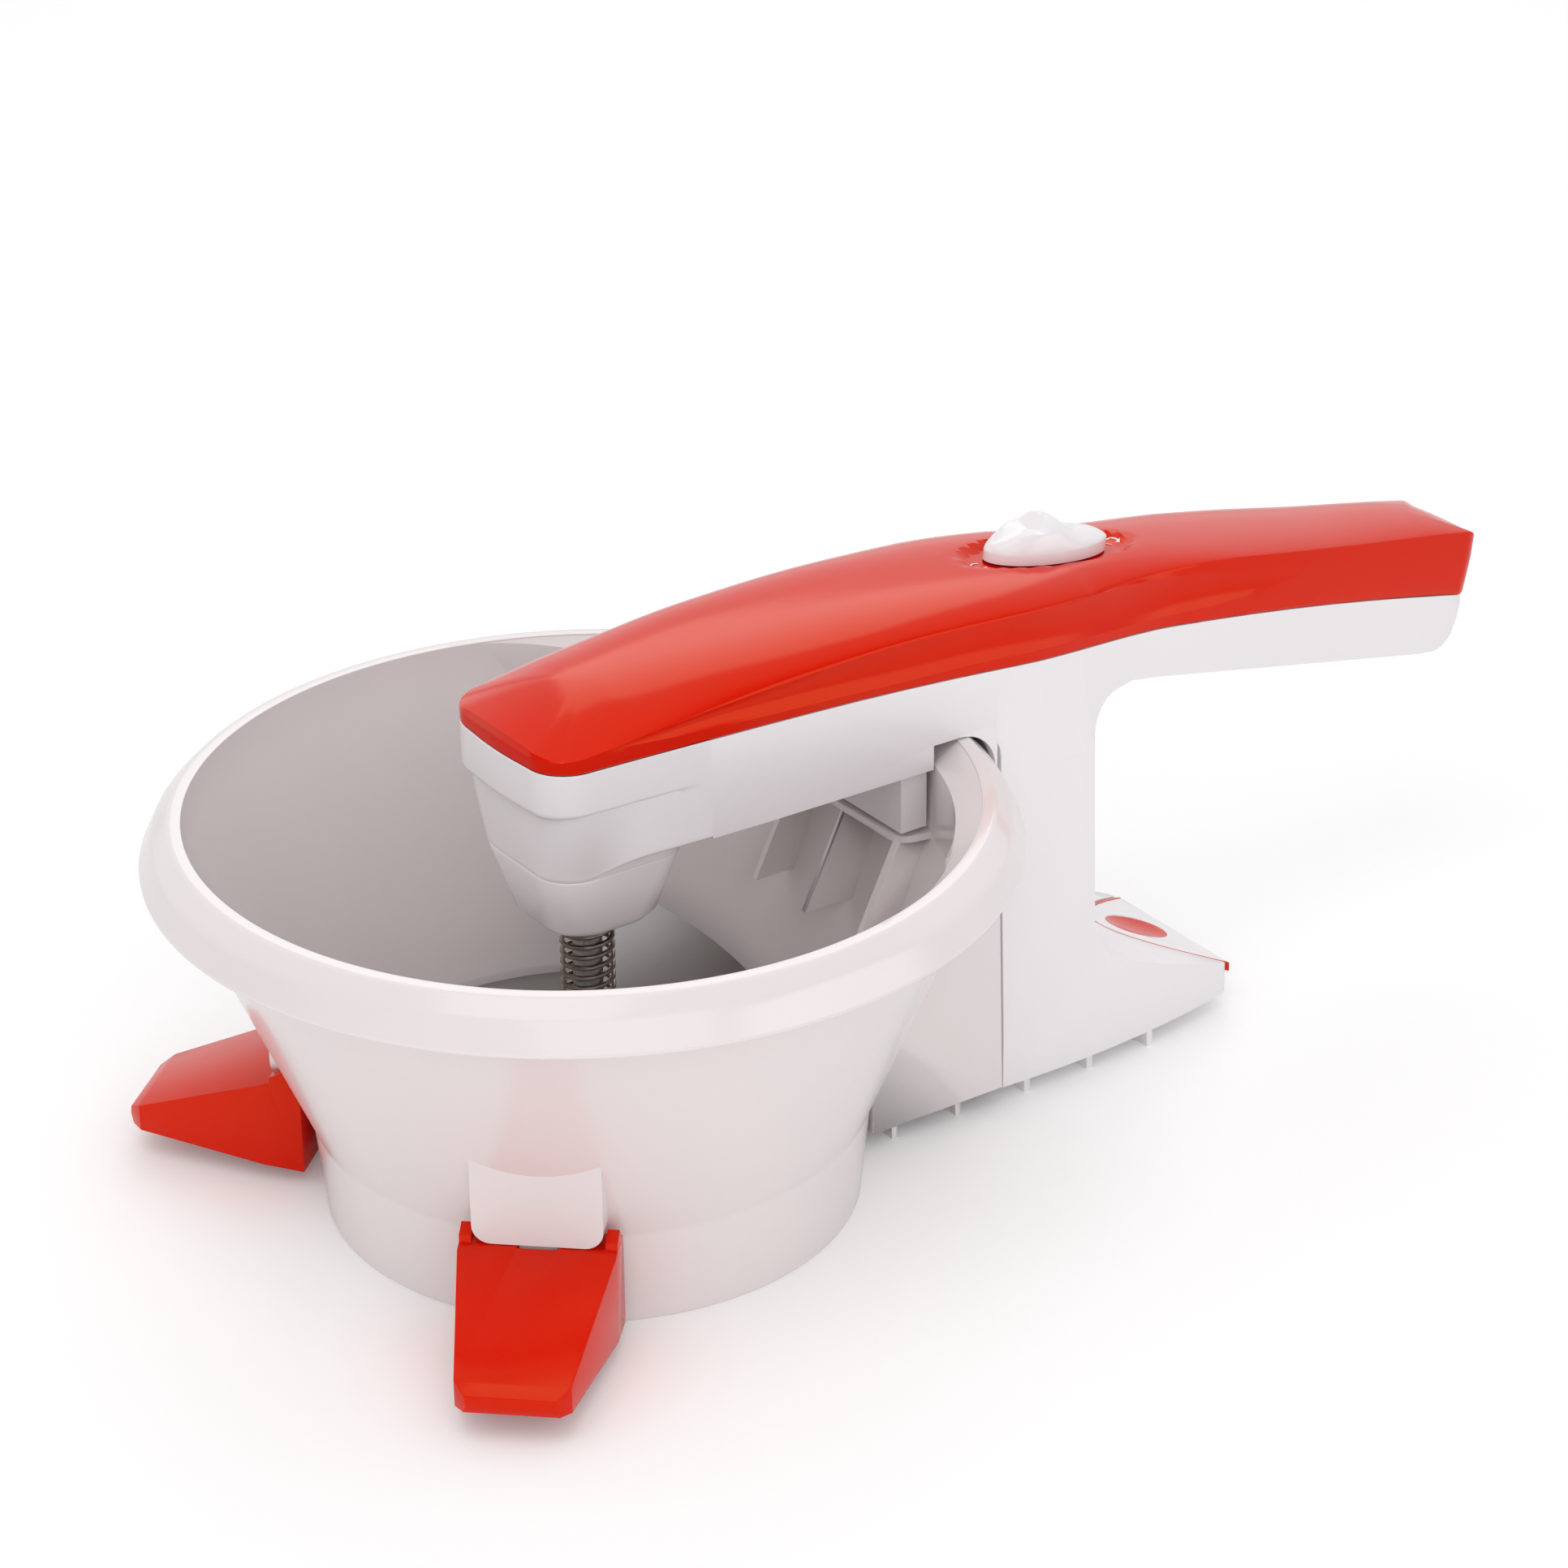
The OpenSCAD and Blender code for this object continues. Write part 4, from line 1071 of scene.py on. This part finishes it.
@dataclass
class Knob:
    """The slider's thumb piece: a boat-shaped body with a ridge and a scooped front.

    Attributes:
        place: Where the knob's frame sits along the cover, in millimetres.
        slope: Tilt of the cover's top there, degrees.
        length: Length of the body.
        width: Width of the body.
        foot: Height of the body's underside in its own frame.
        seat: Height of that frame over the cover's shoulder line.
        wall: Height of the side wall at the front, and what it gains to the back.
        ridge: (place along, height) of the body's top.
        swell: Powers that round the fall from the ridge to the side wall.
        scoop_depth: How far the thumb's scoop sinks into the front.
        scoop_reach: Share of the half-width that the scoop takes.
        scoop_from: Place along the body where the scoop starts.
        scoop_length: Its length towards the front.
        scoop_edge: Power of its round floor, and how steeply its back edge sets in.
        stem: Half-length and half-width of the stem under the body.
        stem_from: Depth of the stem's foot below the knob's frame.
        stem_height: Height of the stem.
    """

    place: float = 153.0
    slope: float = math.degrees(math.atan(85 / 680))
    length: float = 41.0
    width: float = 18.0
    foot: float = -1.3
    seat: float = 0.8
    wall: Point2 = (1.2, 0.9)
    ridge: Sequence[Point2] = ((-20.5, 1.6), (-19, 3.4), (-16, 5.4), (-13, 7.4), (-10, 9.2),
                               (-7, 10.2), (-4.5, 10.6), (-2, 10.5), (0.5, 9.7), (3, 8.0),
                               (6, 6.3), (9, 5.5), (13, 4.9), (16.5, 4.2), (19, 3.2), (20.5, 2.2))
    swell: Point2 = (2.6, 0.6)
    scoop_depth: float = 3.6
    scoop_reach: float = 0.8
    scoop_from: float = -3.2
    scoop_length: float = 15.5
    scoop_edge: Point2 = (0.8, 4.0)
    stem: Point2 = (7.0, 2.5)
    stem_from: float = 7.0
    stem_height: float = 6.0

    def height(self, x: float, side: float) -> float:
        """Finds the height of the body over one place of its plan.

        Args:
            x: Place along the knob.
            side: Share of the half-width there, from -1 to 1.

        Returns:
            The height in the knob's own frame.
        """
        wall = self.wall[0] + self.wall[1] * eased((x + self.length / 2) / self.length)
        top = smoothly(self.ridge, x)
        fall = (1 - abs(side) ** self.swell[0]) ** self.swell[1]
        past, spread = (x - self.scoop_from) / self.scoop_length, abs(side) / self.scoop_reach
        inside = 1 - past ** 2 - spread ** 2 if past < 0 else 0.0
        power, steep = self.scoop_edge
        scoop = self.scoop_depth * max(0.0, inside) ** power * min(1.0, -steep * past)
        return wall + (top - wall) * fall - scoop

    def build(self, paint: Paint, form: ArmForm) -> None:
        """Builds the knob on the cover and lets it stand for the CAD knob.

        Args:
            paint: The materials.
            form: The arm's shared curves.
        """
        rows = [("foot", 1.0), ("wall", 1.0)]
        rows += [("top", math.cos(math.pi / 2 * k / 34)) for k in range(1, 35)]
        tilt, base = math.radians(self.slope), form.ridge(self.place) + self.seat

        def on_cover(x: float, y: float, z: float) -> Point3:
            """Turns a point of the knob's tilted frame into one of the mill's."""
            return (self.place + x * math.cos(tilt) + z * math.sin(tilt), y,
                    base - x * math.sin(tilt) + z * math.cos(tilt))

        def spot(u: float, v: float) -> Point3:
            """Finds a point of the body.

            Args:
                u: Share of the way round its plan.
                v: Share of the way up the rows.

            Returns:
                The point in millimetres.
            """
            kind, ring = rows[round(v * (len(rows) - 1))]
            angle = 2 * math.pi * u
            x = self.length / 2 * ring * math.cos(angle)
            y = self.width / 2 * ring * math.sin(angle)
            reach = self.width / 2 * math.sqrt(max(1e-6, 1 - (2 * x / self.length) ** 2))
            side = max(-1.0, min(1.0, y / reach)) if kind == "top" else 1.0
            return on_cover(x, y, self.foot if kind == "foot" else self.height(x, side))

        body = grid_shape("knob_body", 144, len(rows) - 1, spot)
        a, b = self.stem
        stem = plate("knob_stem", [on_cover(x, y, -self.stem_from) for x, y in
                                   ((-a, -b), (a, -b), (a, b), (-a, b))],
                     (self.stem_height * math.sin(tilt), 0, self.stem_height * math.cos(tilt)))
        face_outwards(body)
        piece = joined("knob", [body, stem])
        shade(piece, 26)
        paint.dress(piece, WHITE_ABS)
        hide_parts("switch_knob")
        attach(piece, Body.KNOB.value)
        report(piece)


@dataclass
class Legends:
    """The two printed turn arrows in the switch's dish.

    Attributes:
        spots: (x, y, start angle, sweep) of each arrow, in millimetres and degrees.
        radius: Radius of the arrow's arc.
        stroke: Width of the printed line.
        head: Half-width of the arrow's head.
        head_turn: Angle that the head takes up, in radians.
        lift: Height of the print over the dish's floor.
        ink: Thickness of the print.
    """

    spots: Sequence[tuple[float, float, float, float]] = ((129.0, -1.5, 60, 235),
                                                          (178.0, 1.5, 235, -235))
    radius: float = 2.2
    stroke: float = 0.42
    head: float = 0.85
    head_turn: float = 0.62
    lift: float = 0.14
    ink: float = 0.06

    def outline(self, start: float, sweep: float) -> list[Point2]:
        """Draws one arrow round its own middle.

        Args:
            start: Angle of its tail, degrees.
            sweep: Turn from its tail to its head, degrees.

        Returns:
            The arrow's corners in order.
        """
        turns = [math.radians(start + sweep * k / 20) for k in range(21)]
        tip = turns[-1] + math.copysign(self.head_turn, sweep)
        rim = [(self.radius + self.stroke / 2, a) for a in turns]
        rim += [(self.radius + self.head, turns[-1]), (self.radius, tip),
                (self.radius - self.head, turns[-1])]
        rim += [(self.radius - self.stroke / 2, a) for a in reversed(turns)]
        return [(r * math.cos(a), r * math.sin(a)) for r, a in rim]

    def build(self, paint: Paint, cover: Cover) -> None:
        """Builds both arrows as thin prints that lie on the dish's floor.

        Args:
            paint: The materials.
            cover: The cover that carries them.
        """
        parts = []
        for number, (x0, y0, start, sweep) in enumerate(self.spots):
            spots = [(x0 + x, y0 + y) for x, y in self.outline(start, sweep)]
            points = [(x, y, cover.crown(x) - cover.sunk(x, y) + self.lift) for x, y in spots]
            parts.append(plate(f"arrow_{number}", points, (0, 0, self.ink)))
        piece = joined("turn_arrows", parts)
        paint.dress(piece, WHITE_INK)
        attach(piece, Body.MILL.value)
        report(piece)


@dataclass
class Housing:
    """The white lower housing: the moulded nose, then the arm, column and tail.

    Attributes:
        form: The arm's shared plan and curves.
        cut: Where the nose meets the rest of the arm.
        band: Height of the band below the parting line.
        edge: How far the band's upper edge comes in.
        step: Depth of the step under the band at the side, and what the nose's face adds.
        step_out: (start, length) of the run in which the step runs out.
        step_fall: Height of the step, and its gain for each millimetre of depth.
        taper_bend: How straight the taper under the step starts, 1 being a straight taper.
        foot_round: Radius of the edge below the taper.
        boss: Half-width of the nose where the boss cap meets it.
        boss_round: Corner radius of that square.
        boss_z: Height of that joint.
        boss_run: (start, length) of the run in which the boss's plan turns into the arm's.
        lid: Size of the face under the nose as a share of the boss.
        collar: The same for the collar inside the nose, and its height.
        arm_z: Height of the arm's underside.
        edge_radius: Rounding of the arm's and the column's edges.
        column: Front and back of the column.
        column_half: Half-width of the column where it meets the arm.
        joint_z: Height of that joint.
        flare_out: How far behind the column, and above the joint, its flare runs out.
        on_side: How near to the arm's side a corner lies that the flare moves.
        weld: Corners nearer than the first are merged, and edges shorter than the second go.
        arch: (x, z) of the upper back corner of the arches that the rim passes.
        arch_round: Radius of that corner.
        arch_wall: Thickness of the wall there.
        arch_sunk: How far the corner's face lies inside the arm's side.
        arch_over: How far the corner runs into the housing round it.
    """

    form: ArmForm = field(default_factory=ArmForm)
    cut: float = 21.5
    band: float = 11.0
    edge: float = 0.3
    step: Point2 = (0.4, 2.4)
    step_out: Point2 = (2.0, 18.0)
    step_fall: Point2 = (0.6, 0.8)
    taper_bend: float = 0.6
    foot_round: float = 1.0
    boss: float = 21.8
    boss_round: float = 11.5
    boss_z: float = 104.0
    boss_run: Point2 = (-16.0, 18.0)
    lid: float = 0.98
    collar: Point2 = (0.985, 6.5)
    arm_z: float = 109.5
    edge_radius: float = 0.7
    column: Point2 = (114.5, 147.6)
    column_half: float = 30.82
    joint_z: float = 100.0
    flare_out: Point2 = (20.0, 22.0)
    on_side: float = 0.15
    weld: Point2 = (0.04, 0.02)
    arch: Point2 = (113.3, 116.6)
    arch_round: float = 12.3
    arch_wall: float = 2.6
    arch_sunk: float = 0.02
    arch_over: float = 0.6

    def boss_point(self, angle: float) -> Point2:
        """Finds the point of the boss's rounded square in one direction from the axis.

        Args:
            angle: The direction, in radians.

        Returns:
            The point.
        """
        c, s = math.cos(angle), math.sin(angle)
        flat = self.boss - self.boss_round
        reach = self.boss / max(abs(c), abs(s))
        if min(abs(c), abs(s)) * reach > flat:
            middle = flat * (abs(c) + abs(s))
            reach = middle + math.sqrt(max(0.0, middle ** 2 - 2 * flat ** 2
                                           + self.boss_round ** 2))
        return reach * c, reach * s

    def nose_rows(self) -> list[tuple[str, float]]:
        """Names the rows of the nose's skin from the parting line down to the collar.

        Returns:
            Kind of each row, and how far down its stretch it lies, from 0 to 1.
        """
        rows = [("band", 0.0), ("band", 0.03), ("band", 0.5), ("band", 1.0)]
        rows += [("step", k / 6) for k in range(1, 7)]
        rows += [("taper", k / 12) for k in range(1, 13)]
        return rows + [("under", k / 4) for k in range(1, 5)] + [("lid", 1.0), ("collar", 1.0)]

    def nose_point(self, place: Point2, normal: Point2, row: tuple[str, float]) -> Point3:
        """Finds the point of the nose's skin below one place of the outline.

        Args:
            place: Point of the plan outline.
            normal: Its outward normal.
            row: Kind of row and its share.

        Returns:
            The point in millimetres.
        """
        (x, y), (nx, ny), (kind, t) = place, normal, row
        top, side = self.form.parting(x), eased_over(self.boss_run, x)
        step = ((self.step[0] + self.step[1] * max(0.0, -nx) ** 1.5)
                * (1 - eased_over(self.step_out, x)))
        fall = self.step_fall[0] + step * self.step_fall[1]
        low = self.boss_z + (self.arm_z - self.boss_z) * side
        if kind == "band":
            edge = self.edge if t == 0 else 0.0
            return x - nx * edge, y - ny * edge, top - self.band * t
        if kind == "step":
            give = step * (1 - math.sqrt(1 - t * t))
            return x - nx * give, y - ny * give, top - self.band - fall * t
        start = top - self.band - fall
        bx, by = self.boss_point(math.atan2(y, x))
        ex, ey = bx + (x - bx) * side, by + (y - by) * side
        if kind == "taper":
            share = t * (self.taper_bend + (1 - self.taper_bend) * t)
            sx, sy = x - nx * step, y - ny * step
            return (sx + (ex - sx) * share, sy + (ey - sy) * share,
                    start + (low + self.foot_round - start) * t)
        if kind == "under":
            inward = self.foot_round * (1 - math.sqrt(max(0.0, 1 - t * t)))
            return ex - nx * inward, ey - ny * inward, low + self.foot_round * (1 - t)
        return bx * self.lid, by * self.lid, low if kind == "lid" else self.boss_z

    def nose(self) -> bpy.types.Object:
        """Builds the nose: a band under the cover that tapers to the boss.

        Returns:
            The nose with the collar inside it.
        """
        loop = self.form.perimeter(12, 2.0)
        first = [p for p in loop[:len(loop) // 2] if p[0][0] < self.cut - 0.5]
        last = [p for p in loop[len(loop) // 2:] if p[0][0] < self.cut - 0.5]
        half = self.form.width(self.cut)
        run = [((self.cut, half), (0.0, 1.0))] + last + first + [((self.cut, -half), (0.0, -1.0))]
        rows = self.nose_rows()

        def place(u: float, v: float) -> Point3:
            """Point of the skin at two shares, round the outline and down the rows."""
            spot, normal = run[round(u * (len(run) - 1))]
            return self.nose_point(spot, normal, rows[round(v * (len(rows) - 1))])

        skin = grid_shape("nose", len(run) - 1, len(rows) - 1, place)
        ring = [self.boss_point(2 * math.pi * k / 96) for k in range(96)]
        share, height = self.collar
        collar = plate("nose_collar", [(x * share, y * share, self.boss_z) for x, y in ring],
                       (0, 0, height))
        return joined("nose", [skin, collar])

    def flare(self, piece: bpy.types.Object) -> None:
        """Lets the column's sides run up into the arm without a step.

        Args:
            piece: The housing's copy.
        """
        back, rise = self.flare_out
        for corner in piece.data.vertices:
            x, y, z = corner.co / MM
            edge = self.form.width(x)
            outer = (abs(abs(y) - edge) < self.on_side
                     and self.column[0] <= x < self.column[1] + back)
            if outer and self.joint_z - 0.1 < z < self.joint_z + rise:
                share = ((1 - eased_over((self.column[1], back), x))
                         * (1 - eased_over((self.joint_z, rise), z)))
                corner.co.y += math.copysign((self.column_half - edge) * share, y) * MM
        with whole_mesh(piece):
            bpy.ops.mesh.remove_doubles(threshold=self.weld[0] * MM)
            bpy.ops.mesh.dissolve_degenerate(threshold=self.weld[1] * MM)
            bpy.ops.mesh.dissolve_limited(angle_limit=FLAT)

    def arch_corners(self) -> bpy.types.Object:
        """Builds the rounded upper corners of the two arches that the rim passes through.

        Returns:
            Both corners in one piece.
        """
        (x0, z0), r, over = self.arch, self.arch_round, self.arch_over
        turns = [math.pi / 2 * k / 16 for k in range(17)]
        parts = []
        for side in (-1, 1):
            y = side * (self.form.width(x0) - self.arch_sunk)
            arc = [(x0 - r + r * math.sin(a), y, z0 - r + r * math.cos(a)) for a in turns]
            corner = [(x0 + over, y, z0 - r), (x0 + over, y, z0 + over), (x0 - r, y, z0 + over)]
            parts.append(plate(f"arch_{side}", arc + corner, (0, -self.arch_wall * side, 0)))
        return joined("arch_corners", parts)

    def build(self, paint: Paint) -> None:
        """Builds the nose and the rest and lets them stand for the CAD housing.

        Args:
            paint: The materials.
        """
        rest = copy_of("lower_housing", "housing_body")
        self.flare(rest)
        soften(rest, self.edge_radius)
        with whole_mesh(rest):
            bpy.ops.mesh.bisect(plane_co=(self.cut * MM, 0, 0), plane_no=(1, 0, 0),
                                clear_inner=True)
        nose = face_outwards(self.nose())
        for piece, angle in ((nose, 35), (rest, 32), (self.arch_corners(), 30)):
            shade(piece, angle)
            paint.dress(piece, WHITE_ABS)
            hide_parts("lower_housing")
            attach(piece, Body.MILL.value)
            report(piece)


@dataclass
class Mouldings:
    """Mouldings and turned parts that keep their CAD form and gain their edge radii.

    Attributes:
        radii: Node to the width of its edge rounding in millimetres.
        riders: Node to the body it rides on.
    """

    radii: dict[str, float] = field(default_factory=lambda: {
        "boss_cap": 0.6, "foot_left": 1.6, "foot_right": 1.6, "release_panel": 0.25,
        "release_lever": 0.2})
    riders: dict[str, Body] = field(default_factory=lambda: {
        "boss_cap": Body.MILL, "foot_left": Body.FOOT_LEFT, "foot_right": Body.FOOT_RIGHT,
        "release_panel": Body.RELEASE, "release_lever": Body.RELEASE})

    def build(self, paint: Paint) -> None:
        """Builds each softened copy, paints it and lets it stand for its node.

        Args:
            paint: The materials.
        """
        for node, width in self.radii.items():
            piece = copy_of(node, f"{node}_moulding")
            soften(piece, width)
            shade(piece)
            paint.dress(piece, FINISH_OF[node])
            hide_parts(node)
            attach(piece, self.riders[node].value)
            report(piece)


@dataclass
class Springs:
    """The two coil springs, which press apart the bodies named for them.

    Attributes:
        ends: Node to the body at its top and the body at its foot.
    """

    ends: dict[str, tuple[Body, Body]] = field(default_factory=lambda: {
        "pressure_spring": (Body.DRIVE, Body.BLADE),
        "lever_spring": (Body.RELEASE, Body.MILL)})

    def build(self, paint: Paint) -> None:
        """Builds each spring as a shaded, painted copy in place of its CAD node.

        Args:
            paint: The materials.
        """
        for node, (top, foot) in self.ends.items():
            piece = shade(copy_of(node, f"{node}_coil"), 40)
            paint.dress(piece, FINISH_OF[node])
            low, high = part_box(node)
            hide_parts(node)
            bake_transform(piece)
            report(piece)


@dataclass(frozen=True)
class Lamp:
    """One soft square lamp.

    Attributes:
        name: Name of the lamp.
        place: Where it hangs, in metres.
        size: Side of the lamp in metres.
        power: Watts.
        aim: The point it faces, in metres.
    """

    name: str
    place: Point3
    size: float
    power: float
    aim: Point3

    def build(self) -> None:
        """Hangs the lamp and turns it to its aim."""
        bpy.ops.object.light_add(type="AREA", location=self.place)
        lamp = bpy.context.active_object
        lamp.name = self.name
        lamp.data.size = self.size
        lamp.data.energy = self.power
        way = Vector(self.aim) - Vector(self.place)
        lamp.rotation_euler = way.to_track_quat("-Z", "Y").to_euler()


@dataclass(frozen=True)
class Glow:
    """A soft patch of light that only mirrored rays see in the surround.

    Attributes:
        towards: Direction of the patch.
        shares: How far a ray points that way where the patch starts, and where it is full.
        levels: Brightness outside the patch and in its middle.
    """

    towards: Point3
    shares: Point2
    levels: Point2

    def build(self, tree: bpy.types.NodeTree, way: bpy.types.Node) -> bpy.types.NodeSocket:
        """Adds the patch's nodes.

        Args:
            tree: The surround's node tree.
            way: The node that gives the ray's direction.

        Returns:
            The socket that gives its brightness.
        """
        share = add_node(tree, "ShaderNodeVectorMath", {"operation": "DOT_PRODUCT"},
                         {0: way.outputs["Generated"]})
        share.inputs[1].default_value = self.towards
        level = add_node(tree, "ShaderNodeMapRange", {"interpolation_type": "SMOOTHSTEP"},
                         {"Value": share.outputs["Value"]},
                         From_Min=self.shares[0], From_Max=self.shares[1],
                         To_Min=self.levels[0], To_Max=self.levels[1])
        return level.outputs["Result"]


@dataclass
class Studio:
    """Floor, light and camera.

    Attributes:
        azimuth: Bearing of the view from +Y, degrees.
        elevation: Height of the view above the horizon, degrees.
        roll: Turn of the picture, degrees.
        position_mm: Where the camera stands.
        lens_mm: Focal length on a sensor of sensor_mm.
        sensor_mm: Width of that sensor.
        floor_side: Side of the floor in metres.
        floor_lift: Light that the floor adds where the camera sees it.
        ambient: Brightness of the surround as it lights the part.
        backdrop: What mirrored rays see: dim in front of the part, bright behind it.
        panel: The bright panel that they see besides.
        lamps: The lamps in order.
    """

    azimuth: float = -34.687
    elevation: float = 26.150
    roll: float = 0.635
    position_mm: Point3 = (-565.55, -910.23, 644.88)
    lens_mm: float = 104.35
    sensor_mm: float = 36.0
    floor_side: float = 12.0
    floor_lift: float = 0.1
    ambient: float = 0.74
    backdrop: Glow = Glow((0.53, 0.78, 0.33), (-0.1, 0.6), (0.16, 1.0))
    panel: Glow = Glow((0.51, -0.85, 0.13), (0.86, 0.93), (0.0, 1.6))
    lamps: Sequence[Lamp] = (
        Lamp("key", (-0.45, -0.35, 1.3), 0.8, 2.6, (0.0, 0.0, 0.05)),
        Lamp("fill", (-0.5, -1.15, 0.7), 1.0, 3.2, (0.0, 0.0, 0.09)),
        Lamp("back", (0.7, 0.9, 1.1), 0.9, 3, (0.06, 0.0, 0.06)))

    def camera(self) -> None:
        """Adds the camera and makes it the scene's own."""
        az, el, roll = (math.radians(v) for v in (self.azimuth, self.elevation, self.roll))
        right = Vector((math.cos(az), math.sin(az), 0))
        back = Vector((math.sin(az) * math.cos(el), -math.cos(az) * math.cos(el), math.sin(el)))
        up = back.cross(right)
        side = math.cos(roll) * right - math.sin(roll) * up
        top = math.sin(roll) * right + math.cos(roll) * up
        bpy.ops.object.camera_add()
        eye = bpy.context.active_object
        eye.name = "view"
        turn = Matrix((side, top, back)).transposed().to_4x4()
        eye.matrix_world = Matrix.Translation(Vector(self.position_mm) * MM) @ turn
        eye.data.lens = self.lens_mm
        eye.data.sensor_width = self.sensor_mm
        eye.data.clip_start = 0.05
        bpy.context.scene.camera = eye

    def floor(self) -> None:
        """Adds the pale floor, which looks white to the camera but keeps the shadow."""
        bpy.ops.object.select_all(action="DESELECT")
        bpy.ops.mesh.primitive_plane_add(size=self.floor_side, location=(0, 0, 0))
        floor = bpy.context.active_object
        floor.name = "floor"
        material = bpy.data.materials.new("matt_paper")
        material.use_nodes = True
        tree = material.node_tree
        shader = next(n for n in tree.nodes if n.type == "BSDF_PRINCIPLED")
        shader.inputs["Base Color"].default_value = linear("fbfbfb")
        shader.inputs["Roughness"].default_value = 0.9
        shader.inputs["Specular IOR Level"].default_value = 0.1
        path = add_node(tree, "ShaderNodeLightPath")
        lift = add_node(tree, "ShaderNodeMath", {"operation": "MULTIPLY"},
                        {0: path.outputs["Is Camera Ray"]})
        lift.inputs[1].default_value = self.floor_lift
        tree.links.new(lift.outputs[0], shader.inputs["Emission Strength"])
        shader.inputs["Emission Color"].default_value = linear("ffffff")
        floor.data.materials.append(material)

    def world(self) -> None:
        """Sets the surround: white to the camera, even as light, and graded to mirrored rays."""
        world = bpy.data.worlds.new("surround")
        bpy.context.scene.world = world
        world.use_nodes = True
        tree = world.node_tree
        tree.nodes.clear()
        path = add_node(tree, "ShaderNodeLightPath")
        way = add_node(tree, "ShaderNodeTexCoord")
        mirrored = add_node(tree, "ShaderNodeMath", {"operation": "ADD"},
                            {0: self.backdrop.build(tree, way), 1: self.panel.build(tree, way)})
        level = add_node(tree, "ShaderNodeMix", links={"Factor": path.outputs["Is Glossy Ray"],
                                                       "B": mirrored.outputs["Value"]},
                         A=self.ambient)
        seen = add_node(tree, "ShaderNodeMix", links={"Factor": path.outputs["Is Camera Ray"],
                                                      "A": level.outputs["Result"]}, B=1.0)
        glow = add_node(tree, "ShaderNodeBackground", links={"Strength": seen.outputs["Result"]},
                        Color=linear("ffffff"))
        add_node(tree, "ShaderNodeOutputWorld", links={"Surface": glow.outputs[0]})

    def build(self) -> None:
        """Builds the whole studio."""
        self.camera()
        self.floor()
        self.world()
        for lamp in self.lamps:
            lamp.build()
        bpy.context.scene.view_settings.view_transform = "Standard"


def main() -> None:
    """Builds the studio and every sub-assembly."""
    logging.basicConfig(level=logging.INFO, format="%(name)s: %(message)s")
    Studio().build()
    paint = Paint()
    for node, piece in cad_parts.items():
        paint.dress(piece, FINISH_OF[node])
    form = ArmForm()
    Bowl().build(paint)
    Housing(form).build(paint)
    cover = Cover(form)
    cover.build(paint)
    Legends().build(paint, cover)
    Knob().build(paint, form)
    Mouldings().build(paint)
    Springs().build(paint)


if __name__ == "__main__":
    main()
